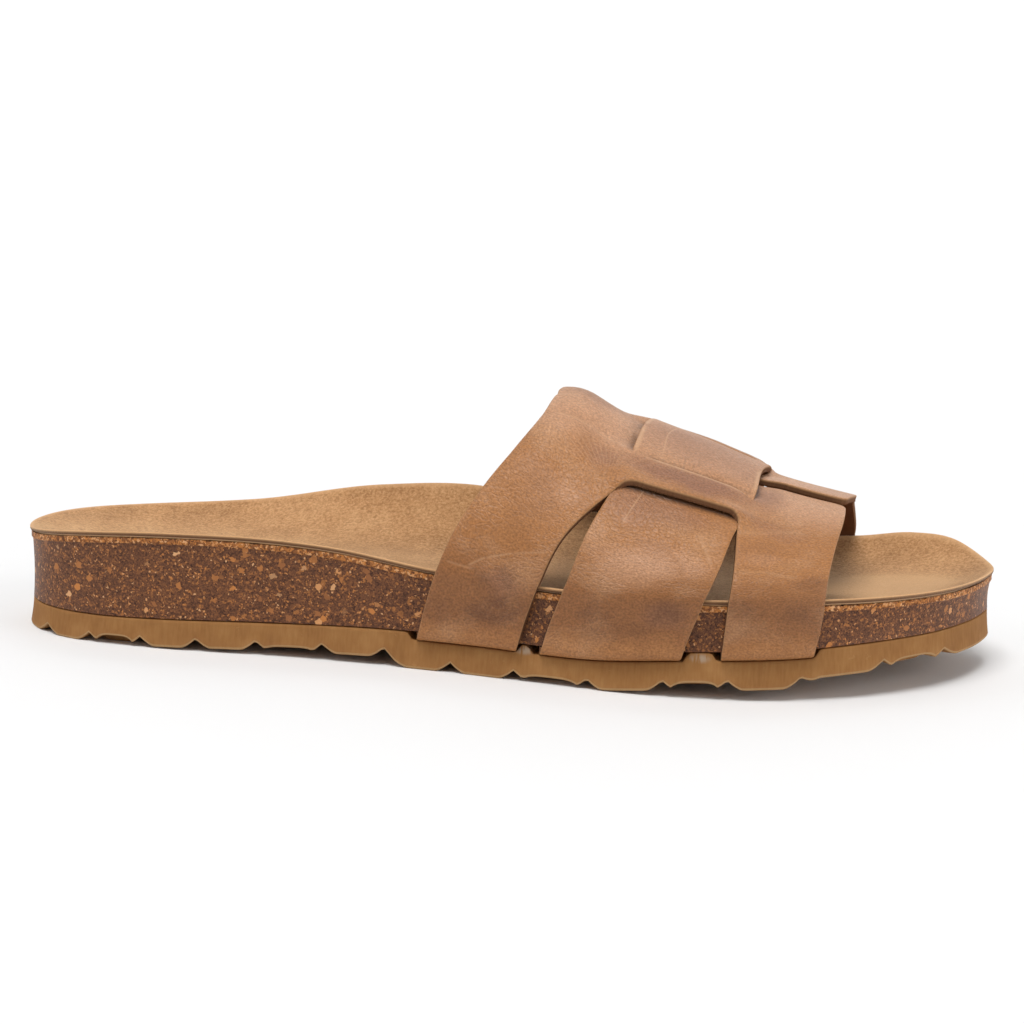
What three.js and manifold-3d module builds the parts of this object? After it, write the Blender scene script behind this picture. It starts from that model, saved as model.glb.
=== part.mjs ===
import * as THREE from 'three';
import { mergeVertices } from 'three/addons/utils/BufferGeometryUtils.js';
import Module from 'manifold-3d';

// Slide sandal for the right foot. X runs from heel to toe, +Y is the inner side of the foot, Z is up.

// Main sizes in millimetres
const length = 264;
const heelWidth = 68;
const ballWidth = 97.5;
const instepHeight = 75;
const rimHeight = 30;
const soleThickness = 7.6;
const leatherThickness = 1.9;
const suedeThickness = 1.2;
const clearance = 0.3;

// Sole: inset of the footbed's lower edge, flare of the tread, and the notches between the lugs
const sideInset = 1;
const treadFlare = 0.75;
const notchWidth = 6.5;
const notchDepth = 2.5;
const notchFlat = 1;
const channelDepth = 2;
const archDepth = 1.7;
const suedeOverhang = 0.4;
const stripHeight = 2;
const stripStep = 0.35;
const sideHollow = 0.6;

// Strap ends: the part turned under the footbed, its outer bend, and the slope of its pocket
const flangeLength = 9;
const bendRadius = 2.4;
const pocketSlope = 2;
const foldHeight = leatherThickness + clearance;

// Widths of the footbed each side of the heel-to-toe line, as shares of the local width
const outline = [
  { at: 0, lateral: 0, medial: 0 },
  { at: 0.012, lateral: 0.211, medial: 0.211 },
  { at: 0.045, lateral: 0.366, medial: 0.366 },
  { at: 0.1, lateral: 0.464, medial: 0.465 },
  { at: 0.18, lateral: 0.502, medial: 0.488 },
  { at: 0.28, lateral: 0.497, medial: 0.444 },
  { at: 0.38, lateral: 0.461, medial: 0.386 },
  { at: 0.48, lateral: 0.436, medial: 0.366 },
  { at: 0.57, lateral: 0.454, medial: 0.405 },
  { at: 0.64, lateral: 0.487, medial: 0.46 },
  { at: 0.71, lateral: 0.502, medial: 0.5 },
  { at: 0.78, lateral: 0.474, medial: 0.503 },
  { at: 0.84, lateral: 0.412, medial: 0.489 },
  { at: 0.89, lateral: 0.331, medial: 0.459 },
  { at: 0.935, lateral: 0.223, medial: 0.405 },
  { at: 0.97, lateral: 0.089, medial: 0.332 },
  { at: 0.99, lateral: -0.028, medial: 0.25 },
  { at: 1, lateral: -0.144, medial: 0.144 },
];

// Height of the rim above the floor, as shares of the rim height
const rim = [
  { at: 0, lateral: 0.9, medial: 0.9 },
  { at: 0.08, lateral: 0.995, medial: 0.915 },
  { at: 0.2, lateral: 1.055, medial: 1.005 },
  { at: 0.35, lateral: 1.015, medial: 1.243 },
  { at: 0.45, lateral: 0.896, medial: 1.28 },
  { at: 0.575, lateral: 0.838, medial: 1.04 },
  { at: 0.68, lateral: 0.848, medial: 0.93 },
  { at: 0.8, lateral: 0.873, medial: 0.875 },
  { at: 0.87, lateral: 0.876, medial: 0.92 },
  { at: 0.925, lateral: 0.877, medial: 1.01 },
  { at: 0.965, lateral: 0.877, medial: 1.01 },
  { at: 1, lateral: 0.885, medial: 0.885 },
];

// Underside of the footbed above the floor, as shares of the sole's thickness
const seam = [
  { at: 0, height: 1 },
  { at: 0.1, height: 1 },
  { at: 0.25, height: 1.14 },
  { at: 0.405, height: 1.289 },
  { at: 0.5, height: 1.289 },
  { at: 0.61, height: 1.289 },
  { at: 0.7, height: 1.56 },
  { at: 0.8, height: 1.72 },
  { at: 0.88, height: 1.9 },
  { at: 0.95, height: 2 },
  { at: 1, height: 2.06 },
];

// Where the sole is thicker, to take the strap ends
const strapZone = { from: 0.405, to: 0.825, ramp: 0.02 };

// Footbed along its middle: height as shares of the rim height, and how late its sides turn up
const footbed = [
  { at: 0, height: 0.78, lateral: 3, medial: 3 },
  { at: 0.13, height: 0.72, lateral: 3, medial: 3 },
  { at: 0.35, height: 0.77, lateral: 3.6, medial: 2.2 },
  { at: 0.5, height: 0.74, lateral: 4, medial: 2.1 },
  { at: 0.65, height: 0.68, lateral: 5, medial: 3 },
  { at: 0.75, height: 0.62, lateral: 5.5, medial: 5 },
  { at: 0.87, height: 0.66, lateral: 5.5, medial: 5.5 },
  { at: 1, height: 0.76, lateral: 5, medial: 5 },
];

// Notches along the edge of the tread, and whether the lug that follows each is arched
const notches = [
  { at: 0.043, arched: false },
  { at: 0.096, arched: true },
  { at: 0.152, arched: false },
  { at: 0.21, arched: false },
  { at: 0.271, arched: true },
  { at: 0.339, arched: false },
  { at: 0.402, arched: false },
  { at: 0.47, arched: false },
  { at: 0.534, arched: true },
  { at: 0.606, arched: false },
  { at: 0.678, arched: true },
  { at: 0.739, arched: false },
  { at: 0.807, arched: false },
  { at: 0.886, arched: true },
  { at: 0.947, arched: false },
];

// Sections of the upper: ridge height as shares of the instep, ridge offset as shares of the ball width
const sections = [
  { at: 0.36, height: 1.12, offset: 0.05 },
  { at: 0.46, height: 1.055, offset: 0.05 },
  { at: 0.55, height: 0.957, offset: 0.05 },
  { at: 0.63, height: 0.835, offset: 0.05 },
  { at: 0.7, height: 0.75, offset: 0.05 },
  { at: 0.77, height: 0.66, offset: 0.05 },
  { at: 0.85, height: 0.595, offset: 0.05 },
  { at: 0.92, height: 0.55, offset: 0.05 },
];

// Places round the girth, from 0 on the centre line to 1 at the end of a strap
const girthTurn = 0.93;
const girthBend = 0.89;
const girthRim = 0.72;
const sideLean = 0.15;
const sideFullness = 0.5;
const topFullness = 0.52;
const centreShift = 0.085;

// Forward runs of the inner half of the straps, each over its own stretch of the girth
const innerAdvance = [
  { run: 5.2, from: -0.03, to: 0.27 },
  { run: 4.8, from: 0.2, to: 0.7 },
];

// Edges of the straps: place along the length for each place round the girth
const rearEdge = [
  { girth: 0, at: 0.552 },
  { girth: 0.15, at: 0.542 },
  { girth: 0.3, at: 0.521 },
  { girth: 0.45, at: 0.495 },
  { girth: 0.6, at: 0.469 },
  { girth: 0.72, at: 0.454 },
  { girth: 0.85, at: 0.441 },
  { girth: 1, at: 0.43 },
];
const rearBandFront = [
  { girth: 0.27, at: 0.637 },
  { girth: 0.34, at: 0.62 },
  { girth: 0.42, at: 0.602 },
  { girth: 0.55, at: 0.576 },
  { girth: 0.72, at: 0.555 },
  { girth: 0.85, at: 0.541 },
  { girth: 1, at: 0.53 },
];
const legRear = [
  { girth: 0.27, at: 0.74 },
  { girth: 0.6, at: 0.739 },
  { girth: 0.8, at: 0.735 },
  { girth: 1, at: 0.73 },
];
const frontEdge = [
  { girth: 0, at: 0.845 },
  { girth: 0.15, at: 0.842 },
  { girth: 0.35, at: 0.834 },
  { girth: 0.55, at: 0.828 },
  { girth: 0.8, at: 0.824 },
  { girth: 1, at: 0.814 },
];
const middleRear = [
  { girth: 0, at: 0.637 },
  { girth: 0.2, at: 0.63 },
  { girth: 0.35, at: 0.617 },
  { girth: 0.5, at: 0.6 },
  { girth: 0.72, at: 0.58 },
  { girth: 0.85, at: 0.565 },
  { girth: 1, at: 0.553 },
];
const middleFront = [
  { girth: 0, at: 0.757 },
  { girth: 0.2, at: 0.752 },
  { girth: 0.4, at: 0.736 },
  { girth: 0.55, at: 0.727 },
  { girth: 0.72, at: 0.714 },
  { girth: 0.9, at: 0.696 },
  { girth: 1, at: 0.69 },
];

// Bars beside the window, the window itself and the slit in front of it
const bar = { upper: 0.168, lower: 0.294, lift: 1.6, from: 0.598, to: 0.762, ramp: 0.035, fade: 0.08 };
const windowSpan = { rear: 0.6405, front: 0.7535 };
// Round the window the vamp dips, so that its edges pass under the patch
const windowDip = { depth: 0.8, reach: 9, from: 0.06, to: 0.17 };
// The inner bar bulges, and the middle band under it
const bulge = { height: 0.6, from: 0.635, ramp: 0.06, upper: 0.12, lower: 0.4, fade: 0.08 };
const slitHalf = 0.013;
const patchLift = 1.5;
const patchFade = { from: 0.1, to: 0.21 };
const cornerRadius = { notch: 3.5, window: 1.5, front: 3 };

const patternWidth = 92;

const clamp = (value, low = 0, high = 1) => Math.min(Math.max(value, low), high);

const smoothStep = (value) => {
  const t = clamp(value);
  return t * t * (3 - 2 * t);
};

// Smooth value of one column of a table, at a place given in its key column
function lookUp(rows, column, place, key = 'at') {
  const last = rows.length - 1;
  const x = clamp(place, rows[0][key], rows[last][key]);
  let i = 0;
  while (i < last - 1 && x >= rows[i + 1][key]) i += 1;
  const run = (k) => rows[k + 1][key] - rows[k][key];
  const slope = (k) => (rows[k + 1][column] - rows[k][column]) / run(k);
  const tangent = (k) => {
    if (k === 0) return slope(0);
    if (k === last) return slope(last - 1);
    return (slope(k - 1) * run(k) + slope(k) * run(k - 1)) / (run(k - 1) + run(k));
  };
  const h = run(i);
  const t = (x - rows[i][key]) / h;
  const t2 = t * t;
  const t3 = t2 * t;
  return (2 * t3 - 3 * t2 + 1) * rows[i][column] + (t3 - 2 * t2 + t) * h * tangent(i)
    + (3 * t2 - 2 * t3) * rows[i + 1][column] + (t3 - t2) * h * tangent(i + 1);
}

// Outline of the footbed
const waistEnd = 0.25;
const ballStart = 0.6;
const localWidth = (at) => (
  heelWidth + (ballWidth - heelWidth) * smoothStep((at - waistEnd) / (ballStart - waistEnd))
);
const edgePoint = (row, side) => new THREE.Vector3(
  row.at * length,
  side * (side < 0 ? row.lateral : row.medial) * localWidth(row.at),
  0,
);
const edgePoints = [
  ...outline.map((row) => edgePoint(row, -1)),
  ...outline.slice(1, -1).reverse().map((row) => edgePoint(row, 1)),
];
const edgeCurve = new THREE.CatmullRomCurve3(edgePoints, true, 'centripetal');
const samplesPerRow = 24;
const edgeSamples = [];
for (let i = 0; i <= edgePoints.length * samplesPerRow; i += 1) {
  edgeSamples.push(edgeCurve.getPoint(i / (edgePoints.length * samplesPerRow)));
}
const toeSample = (outline.length - 1) * samplesPerRow;
const lateralEdge = edgeSamples.slice(0, toeSample + 1);
const medialEdge = edgeSamples.slice(toeSample).reverse();

// Distance of the footbed's edge from the heel-to-toe line
function halfWidth(side, x) {
  const edge = side < 0 ? lateralEdge : medialEdge;
  const last = edge.length - 1;
  const place = clamp(x, edge[0].x, edge[last].x);
  let i = 0;
  while (i < last - 1 && edge[i + 1].x < place) i += 1;
  const run = edge[i + 1].x - edge[i].x;
  const t = run > 0 ? (place - edge[i].x) / run : 0;
  return side * (edge[i].y + (edge[i + 1].y - edge[i].y) * t);
}

const rimAt = (side, x) => rimHeight * lookUp(rim, side < 0 ? 'lateral' : 'medial', x / length);
const seamAt = (x) => soleThickness * lookUp(seam, 'height', x / length);

function groundAt(x) {
  const at = x / length;
  const zone = clamp((at - strapZone.from) / strapZone.ramp) * clamp((strapZone.to - at) / strapZone.ramp);
  return Math.max(seamAt(x) - soleThickness - foldHeight * zone, 0);
}

// Points of the sole on lines that run from its edge to a spine in the middle
const spineEnds = { heel: 33, toe: 45 };
const spineStart = spineEnds.heel;
const spineEnd = length - spineEnds.toe;
const spineBend = 3;
function spineAt(x) {
  const place = clamp(x, spineStart, spineEnd);
  return new THREE.Vector2(place, spineBend * (place - spineStart) / (spineEnd - spineStart));
}

// A ring holds its share of the way out from the spine, a further inset in mm and a height
function ringPoint(x, side, ring) {
  const edge = new THREE.Vector2(x, side * halfWidth(side, x));
  const spine = spineAt(x);
  const reach = edge.clone().sub(spine);
  const distance = reach.length();
  const share = ring.share * Math.max(distance - ring.inset, 0) / distance;
  const point = spine.addScaledVector(reach, share);
  return new THREE.Vector3(point.x, point.y, ring.height({ x, side, inX: point.x, share }));
}

// Closed mesh from named points, leaving out faces that collapse
function meshBuilder() {
  const positions = [];
  const indices = [];
  const known = new Map();
  const tolerance = 1e4;
  const vertex = (point) => {
    const key = point.toArray().map((value) => Math.round(value * tolerance)).join();
    if (!known.has(key)) {
      known.set(key, positions.length / 3);
      positions.push(...point.toArray());
    }
    return known.get(key);
  };
  const face = (a, b, c) => {
    const corners = [vertex(a), vertex(b), vertex(c)];
    if (new Set(corners).size === 3) indices.push(...corners);
  };
  const geometry = () => {
    const result = new THREE.BufferGeometry();
    result.setAttribute('position', new THREE.Float32BufferAttribute(positions, 3));
    result.setIndex(indices);
    result.computeVertexNormals();
    return result;
  };
  return { face, geometry };
}

// Solid lofted through rings, from the middle of the underside out and up to the middle of the top
function ringSolid(stations, rings) {
  const loop = [
    ...stations.map((x) => ({ x, side: -1 })),
    ...stations.slice(1, -1).reverse().map((x) => ({ x, side: 1 })),
  ];
  const points = rings.map((ring) => loop.map((place) => ringPoint(place.x, place.side, ring)));
  const builder = meshBuilder();
  for (let i = 0; i < rings.length - 1; i += 1) {
    for (let j = 0; j < loop.length; j += 1) {
      const next = (j + 1) % loop.length;
      builder.face(points[i][j], points[i][next], points[i + 1][next]);
      builder.face(points[i][j], points[i + 1][next], points[i + 1][j]);
    }
  }
  return builder.geometry();
}

// Stations from heel to toe, closer together at the ends
const stationCount = 34;
const evenStations = [];
for (let k = 0; k <= stationCount; k += 1) {
  evenStations.push(length * (1 - Math.cos(Math.PI * k / stationCount)) / 2);
}

// Strap ends that lie between the footbed and the sole
const strapEnds = [
  { from: rearEdge, to: rearBandFront },
  { from: middleRear, to: middleFront },
  { from: legRear, to: frontEdge },
].map((strap) => {
  const places = (rows) => [girthBend, 1].map((girth) => length * lookUp(rows, 'at', girth, 'girth'));
  return {
    from: Math.min(...places(strap.from)) - 2 * clearance,
    to: Math.max(...places(strap.to)) + 2 * clearance,
  };
});

// Depth of the pockets for the strap ends, along the edge of the sole
const fullAdvance = innerAdvance.reduce((sum, part) => sum + part.run, 0);
const sideAdvance = (side) => (side > 0 ? fullAdvance : 0);
const pocketAt = (x, side) => foldHeight * Math.max(...strapEnds.map((end) => {
  const place = x - sideAdvance(side);
  return clamp((place - end.from) / pocketSlope + 1) * clamp((end.to - place) / pocketSlope + 1);
}));

// Height of the tread's notches above the lugs
function notchAt(x) {
  const outer = notchWidth / 2;
  const inner = notchFlat / 2;
  return notchDepth * Math.max(...notches.map((notch) => (
    clamp((outer - Math.abs(x - notch.at * length)) / (outer - inner))
  )));
}
const archSpans = notches.flatMap((notch, i) => (notch.arched && i < notches.length - 1
  ? [{ from: notch.at * length + notchWidth / 2, to: notches[i + 1].at * length - notchWidth / 2 }]
  : []));
const archAt = (x) => archDepth * Math.max(...archSpans.map((span) => {
  const half = (span.to - span.from) / 2;
  const away = (x - span.from - half) / half;
  return Math.sqrt(Math.max(1 - away * away, 0));
}));

// Outsole
const archShares = [0.12, 0.5, 0.88];
const notchStations = notches.flatMap((notch) => (
  [-notchWidth, -notchFlat, notchFlat, notchWidth].map((offset) => notch.at * length + offset / 2)
));
const archStations = archSpans.flatMap((span) => (
  archShares.map((share) => span.from + (span.to - span.from) * share)
));
const pocketStations = strapEnds.flatMap((end) => (
  [end.from - pocketSlope, end.from, end.to, end.to + pocketSlope].flatMap((x) => [x, x + fullAdvance])
));
const leastSpacing = 1.2;
const soleStations = [...notchStations, ...archStations, ...pocketStations].sort((a, b) => a - b);
const evenSpacing = 7;
evenStations.forEach((x) => {
  const nearest = Math.min(...soleStations.map((other) => Math.abs(other - x)));
  const atEnd = x === 0 || x === evenStations[stationCount];
  const limit = x < spineStart / 2 || x > length - spineStart / 2 ? leastSpacing : evenSpacing;
  if (atEnd || nearest > limit) soleStations.push(x);
});
soleStations.sort((a, b) => a - b);
const spacedStations = soleStations.filter((x, i) => i === 0 || x - soleStations[i - 1] > clearance);

const edgeLugShare = 0.86;
const pocketInset = flangeLength + bendRadius + sideInset + clearance;
const channel = { outer: 0.42, inner: 0.34, wall: 0.02 };
const spineGround = (place) => groundAt(place.inX) + notchAt(place.inX);
const openGround = (place) => groundAt(place.inX) + notchAt(place.x);
const archedGround = (place) => groundAt(place.inX) + Math.max(notchAt(place.x), archAt(place.x));
const channelGround = (place) => groundAt(place.inX) + Math.max(notchAt(place.x), channelDepth);
const soleTop = (place) => seamAt(place.inX) - clearance;
const pocketTop = (place) => soleTop(place) - pocketAt(place.x, place.side);
const outsole = ringSolid(spacedStations, [
  { share: 0, inset: 0, height: spineGround },
  { share: channel.inner - channel.wall, inset: 0, height: openGround },
  { share: channel.inner, inset: 0, height: channelGround },
  { share: channel.outer, inset: 0, height: channelGround },
  { share: channel.outer + channel.wall, inset: 0, height: openGround },
  { share: edgeLugShare, inset: 0, height: openGround },
  { share: edgeLugShare + channel.wall, inset: 0, height: archedGround },
  { share: 1, inset: sideInset - treadFlare, height: archedGround },
  { share: 1, inset: sideInset, height: pocketTop },
  { share: 1, inset: pocketInset, height: pocketTop },
  { share: 1, inset: pocketInset + clearance, height: soleTop },
  { share: 0, inset: 0, height: soleTop },
]);

// Top of the suede over the footbed
const bedShares = [1, 0.95, 0.87, 0.75, 0.55, 0.3, 0];
function bedAt(place) {
  const at = place.inX / length;
  const middle = rimHeight * lookUp(footbed, 'height', at);
  const power = lookUp(footbed, place.side < 0 ? 'lateral' : 'medial', at);
  return middle + (rimAt(place.side, place.x) - middle) * place.share ** power;
}
const bedRings = (drop, inset) => bedShares.map((share) => ({
  share,
  inset,
  height: (place) => bedAt(place) - drop,
}));

// Cork footbed
const corkDrop = suedeThickness + clearance;
const corkSide = (inset, share) => ({
  share: 1,
  inset,
  height: (place) => {
    const top = rimAt(place.side, place.x) - corkDrop - stripHeight;
    return top + (seamAt(place.x) - top) * share;
  },
});
const corkBase = (place) => seamAt(place.inX);
const corkFootbed = ringSolid(evenStations, [
  { share: 0, inset: 0, height: corkBase },
  { share: 1, inset: pocketInset, height: corkBase },
  { share: 1, inset: sideInset, height: corkBase },
  corkSide(suedeOverhang + stripStep + sideHollow, 0.55),
  corkSide(suedeOverhang + stripStep, 0),
  corkSide(suedeOverhang, 0),
  ...bedRings(corkDrop, suedeOverhang),
]);

// Suede insole
const insole = ringSolid(evenStations, [
  ...bedRings(suedeThickness, 0).reverse(),
  ...bedRings(0, 0),
]);

// Outer face of the upper at a place along the length and round the girth, negative on the outer side
function lastPoint(x, girth) {
  const side = girth < 0 ? -1 : 1;
  const place = Math.abs(girth);
  const at = x / length;
  const width = halfWidth(side, x);
  const turnStep = 1;
  const turn = (halfWidth(side, x + turnStep) - halfWidth(side, x - turnStep)) / (2 * turnStep);
  const outward = foldHeight * Math.hypot(1, turn);
  const lowY = width - sideInset + outward;
  const rimY = width + outward;
  const lowZ = seamAt(x) - foldHeight;
  const rimZ = rimAt(side, x);
  let y;
  let z;
  if (place >= girthTurn) {
    y = lowY - bendRadius - flangeLength * (place - girthTurn) / (1 - girthTurn);
    z = lowZ;
  } else if (place >= girthBend) {
    const angle = Math.PI / 2 * (girthTurn - place) / (girthTurn - girthBend);
    y = lowY - bendRadius + bendRadius * Math.sin(angle);
    z = lowZ + bendRadius * (1 - Math.cos(angle));
  } else if (place >= girthRim) {
    const t = (girthBend - place) / (girthBend - girthRim);
    y = lowY + (rimY - lowY) * t;
    z = lowZ + bendRadius + (rimZ - lowZ - bendRadius) * t;
  } else {
    const ridgeZ = instepHeight * lookUp(sections, 'height', at);
    const ridgeY = side * ballWidth * lookUp(sections, 'offset', at);
    const rise = ridgeZ - rimZ;
    const arch = new THREE.CubicBezierCurve(
      new THREE.Vector2(rimY, rimZ),
      new THREE.Vector2(rimY - sideLean * sideFullness * rise, rimZ + sideFullness * rise),
      new THREE.Vector2(ridgeY + topFullness * (rimY - ridgeY), ridgeZ),
      new THREE.Vector2(ridgeY, ridgeZ),
    );
    const point = arch.getPoint(1 - place / girthRim);
    y = point.x;
    z = point.y;
  }
  return new THREE.Vector3(x, side * y, z);
}

// Point of a strap: the pattern's centre line lies a little to the outer side of the ridge
function strapPoint(patternX, place, lift) {
  const x = innerAdvance.reduce((sum, part) => (
    sum + part.run * smoothStep((place - part.from) / (part.to - part.from))
  ), patternX);
  const shift = centreShift * Math.cos(Math.PI / 2 * clamp(place / girthRim, -1, 1));
  const girth = place - shift;
  const point = lastPoint(x, girth);
  const step = 0.25;
  const girthStep = step / patternWidth;
  const along = lastPoint(x + step, girth).sub(lastPoint(x - step, girth));
  const around = lastPoint(x, girth + girthStep).sub(lastPoint(x, girth - girthStep));
  const normal = along.cross(around).normalize();
  return point.addScaledVector(normal, lift);
}

// Pattern outlines, in mm along the length and round the girth
const edgeStep = 0.09;
function alongEdge(rows, from, to) {
  const points = [];
  const count = Math.max(Math.round(Math.abs(to - from) / edgeStep), 1);
  for (let i = 0; i <= count; i += 1) {
    const girth = from + (to - from) * i / count;
    points.push({ x: length * lookUp(rows, 'at', girth, 'girth'), y: girth * patternWidth, radius: 0 });
  }
  return points;
}
const withCorner = (points, index, radius) => {
  const place = index < 0 ? points.length + index : index;
  return points.map((point, i) => (i === place ? { ...point, radius } : point));
};

// Replaces each corner that has a radius by a short arc
function roundCorners(points) {
  const arcSteps = 4;
  const mostOfEdge = 0.9;
  return points.flatMap((point, i) => {
    if (point.radius === 0) return [new THREE.Vector2(point.x, point.y)];
    const before = points[(i + points.length - 1) % points.length];
    const after = points[(i + 1) % points.length];
    const corner = new THREE.Vector2(point.x, point.y);
    const back = new THREE.Vector2(before.x, before.y).sub(corner);
    const ahead = new THREE.Vector2(after.x, after.y).sub(corner);
    const reach = Math.min(point.radius, back.length() * mostOfEdge, ahead.length() * mostOfEdge);
    const start = corner.clone().addScaledVector(back.normalize(), reach);
    const end = corner.clone().addScaledVector(ahead.normalize(), reach);
    return new THREE.QuadraticBezierCurve(start, corner, end).getPoints(arcSteps);
  });
}

// Triangles of a strap's half pattern, row by row between lines of equal girth
const rowSpacing = 8;
const columnSpacing = 9;
const placeKey = 1e3;
const rounded = (value) => Math.round(value * placeKey) / placeKey;
function patternFaces(corners) {
  const loop = corners.map((point) => new THREE.Vector2(rounded(point.x), rounded(point.y)));
  const fixedRows = [girthRim, girthBend, (girthBend + girthTurn) / 2, girthTurn]
    .map((place) => rounded(place * patternWidth));
  const top = Math.max(...loop.map((point) => point.y));
  const levels = new Set([...loop.map((point) => point.y), ...fixedRows]);
  const sorted = [...levels].sort((a, b) => a - b);
  sorted.slice(1).forEach((level, i) => {
    const count = Math.ceil((level - sorted[i]) / rowSpacing);
    for (let k = 1; k < count; k += 1) levels.add(rounded(sorted[i] + (level - sorted[i]) * k / count));
  });
  const rows = [...levels].filter((level) => level <= top).sort((a, b) => a - b);
  const crossing = (a, b, level) => rounded(a.x + (b.x - a.x) * (level - a.y) / (b.y - a.y));
  const strips = rows.slice(1).map((high, i) => {
    const low = rows[i];
    const middle = (low + high) / 2;
    const cuts = [];
    loop.forEach((a, k) => {
      const b = loop[(k + 1) % loop.length];
      if ((a.y - middle) * (b.y - middle) < 0) {
        cuts.push({ key: crossing(a, b, middle), low: crossing(a, b, low), high: crossing(a, b, high) });
      }
    });
    cuts.sort((a, b) => a.key - b.key);
    const spans = [];
    for (let k = 0; k < cuts.length; k += 2) spans.push([cuts[k], cuts[k + 1]]);
    return { low, high, spans };
  });
  const columns = rows.map((level) => {
    const ends = strips.flatMap((strip) => strip.spans.flatMap((span) => {
      if (strip.low === level) return span.map((cut) => cut.low);
      if (strip.high === level) return span.map((cut) => cut.high);
      return [];
    }));
    const grid = new Set([...ends, ...loop.filter((point) => point.y === level).map((point) => point.x)]);
    for (let x = 0; x < length; x += columnSpacing) {
      if (ends.every((end) => Math.abs(end - x) > columnSpacing / 3)) grid.add(x);
    }
    return [...grid].sort((a, b) => a - b);
  });
  const faces = [];
  strips.forEach((strip, i) => strip.spans.forEach(([left, right]) => {
    const lower = columns[i].filter((x) => x >= left.low && x <= right.low).map((x) => [x, strip.low]);
    const upper = columns[i + 1].filter((x) => x >= left.high && x <= right.high)
      .map((x) => [x, strip.high]);
    let a = 0;
    let b = 0;
    while (a < lower.length - 1 || b < upper.length - 1) {
      const canLower = a < lower.length - 1;
      const lowerNext = canLower ? lower[a + 1][0] + lower[a][0] : Infinity;
      const upperNext = b < upper.length - 1 ? upper[b + 1][0] + upper[b][0] : Infinity;
      if (canLower && lowerNext <= upperNext) {
        faces.push([lower[a], lower[a + 1], upper[b]]);
        a += 1;
      } else {
        faces.push([lower[a], upper[b + 1], upper[b]]);
        b += 1;
      }
    }
  }));
  return faces;
}

// Solid strap, both halves of its pattern wrapped over the last and given the leather's thickness
function strapSolid(corners, liftAt) {
  const half = patternFaces(corners);
  const flip = ([x, y]) => [x, -y];
  const faces = [...half, ...half.map(([a, b, c]) => [flip(a), flip(c), flip(b)])];
  const name = ([x, y]) => `${x} ${y === 0 ? 0 : y}`;
  const edges = new Map();
  faces.forEach((face) => face.forEach((start, i) => {
    const end = face[(i + 1) % 3];
    edges.set(`${name(start)} ${name(end)}`, [start, end]);
  }));
  const cache = new Map();
  const wrap = (place, inner) => {
    const key = `${name(place)} ${inner}`;
    if (!cache.has(key)) {
      const girth = place[1] / patternWidth;
      const lift = liftAt(place[0], girth) - (inner ? leatherThickness : 0);
      cache.set(key, strapPoint(place[0], girth, lift));
    }
    return cache.get(key);
  };
  const builder = meshBuilder();
  faces.forEach(([a, b, c]) => {
    builder.face(wrap(a, false), wrap(b, false), wrap(c, false));
    builder.face(wrap(a, true), wrap(c, true), wrap(b, true));
  });
  edges.forEach(([start, end]) => {
    if (edges.has(`${name(end)} ${name(start)}`)) return;
    builder.face(wrap(start, false), wrap(end, true), wrap(end, false));
    builder.face(wrap(start, false), wrap(start, true), wrap(end, true));
  });
  return builder.geometry();
}

const vampPattern = roundCorners([
  ...alongEdge(rearEdge, 0, 1),
  ...withCorner(alongEdge(rearBandFront, 1, bar.lower), -1, cornerRadius.notch),
  ...withCorner(alongEdge(legRear, bar.lower, 1), 0, cornerRadius.notch),
  ...withCorner(alongEdge(frontEdge, 1, slitHalf), -1, cornerRadius.front),
  { x: length * windowSpan.front, y: slitHalf * patternWidth, radius: 0 },
  { x: length * windowSpan.front, y: bar.upper * patternWidth, radius: cornerRadius.window },
  { x: length * windowSpan.rear, y: bar.upper * patternWidth, radius: cornerRadius.window },
  { x: length * windowSpan.rear, y: 0, radius: 0 },
]);
const middlePattern = roundCorners([
  ...alongEdge(middleRear, 0, 1),
  ...alongEdge(middleFront, 1, 0),
]);
const bulgeAt = (x, girth) => bulge.height
  * smoothStep((x / length - bulge.from) / bulge.ramp)
  * smoothStep((bar.to - x / length) / bar.ramp)
  * smoothStep((girth - bulge.upper) / bulge.fade)
  * smoothStep((bulge.lower - girth) / bulge.fade);
function vampLift(x, girth) {
  const at = x / length;
  const place = Math.abs(girth);
  const bars = bar.lift
    * smoothStep((at - bar.from) / bar.ramp)
    * smoothStep((bar.to - at) / bar.ramp)
    * smoothStep((bar.lower + bar.fade - place) / bar.fade)
    * smoothStep((place - bar.upper + bar.fade) / bar.fade);
  const away = Math.max(length * windowSpan.rear - x, x - length * windowSpan.front);
  const dip = windowDip.depth
    * smoothStep(1 - away / windowDip.reach)
    * smoothStep((windowDip.to - place) / (windowDip.to - windowDip.from));
  return bars + bulgeAt(x, girth) - dip;
}
const middleLift = (x, girth) => bulgeAt(x, girth) + patchLift
  * smoothStep((patchFade.to - Math.abs(girth)) / (patchFade.to - patchFade.from));

const wasm = await Module();
wasm.setup();
function toManifold(source) {
  const bare = source.clone();
  bare.deleteAttribute('normal');
  bare.deleteAttribute('uv');
  const merged = mergeVertices(bare);
  return new wasm.Manifold(new wasm.Mesh({
    numProp: 3,
    vertProperties: new Float32Array(merged.attributes.position.array),
    triVerts: new Uint32Array(merged.index.array),
  }));
}
function fromManifold(solid) {
  const { vertProperties, triVerts } = solid.getMesh();
  const result = new THREE.BufferGeometry();
  result.setAttribute('position', new THREE.Float32BufferAttribute(vertProperties, 3));
  result.setIndex([...triVerts]);
  result.computeVertexNormals();
  return result;
}

// Upper: the vamp and the middle band, joined where they cross
const vamp = strapSolid(vampPattern, vampLift);
const middleBand = strapSolid(middlePattern, middleLift);
const upper = fromManifold(toManifold(vamp).add(toManifold(middleBand)));

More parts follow.
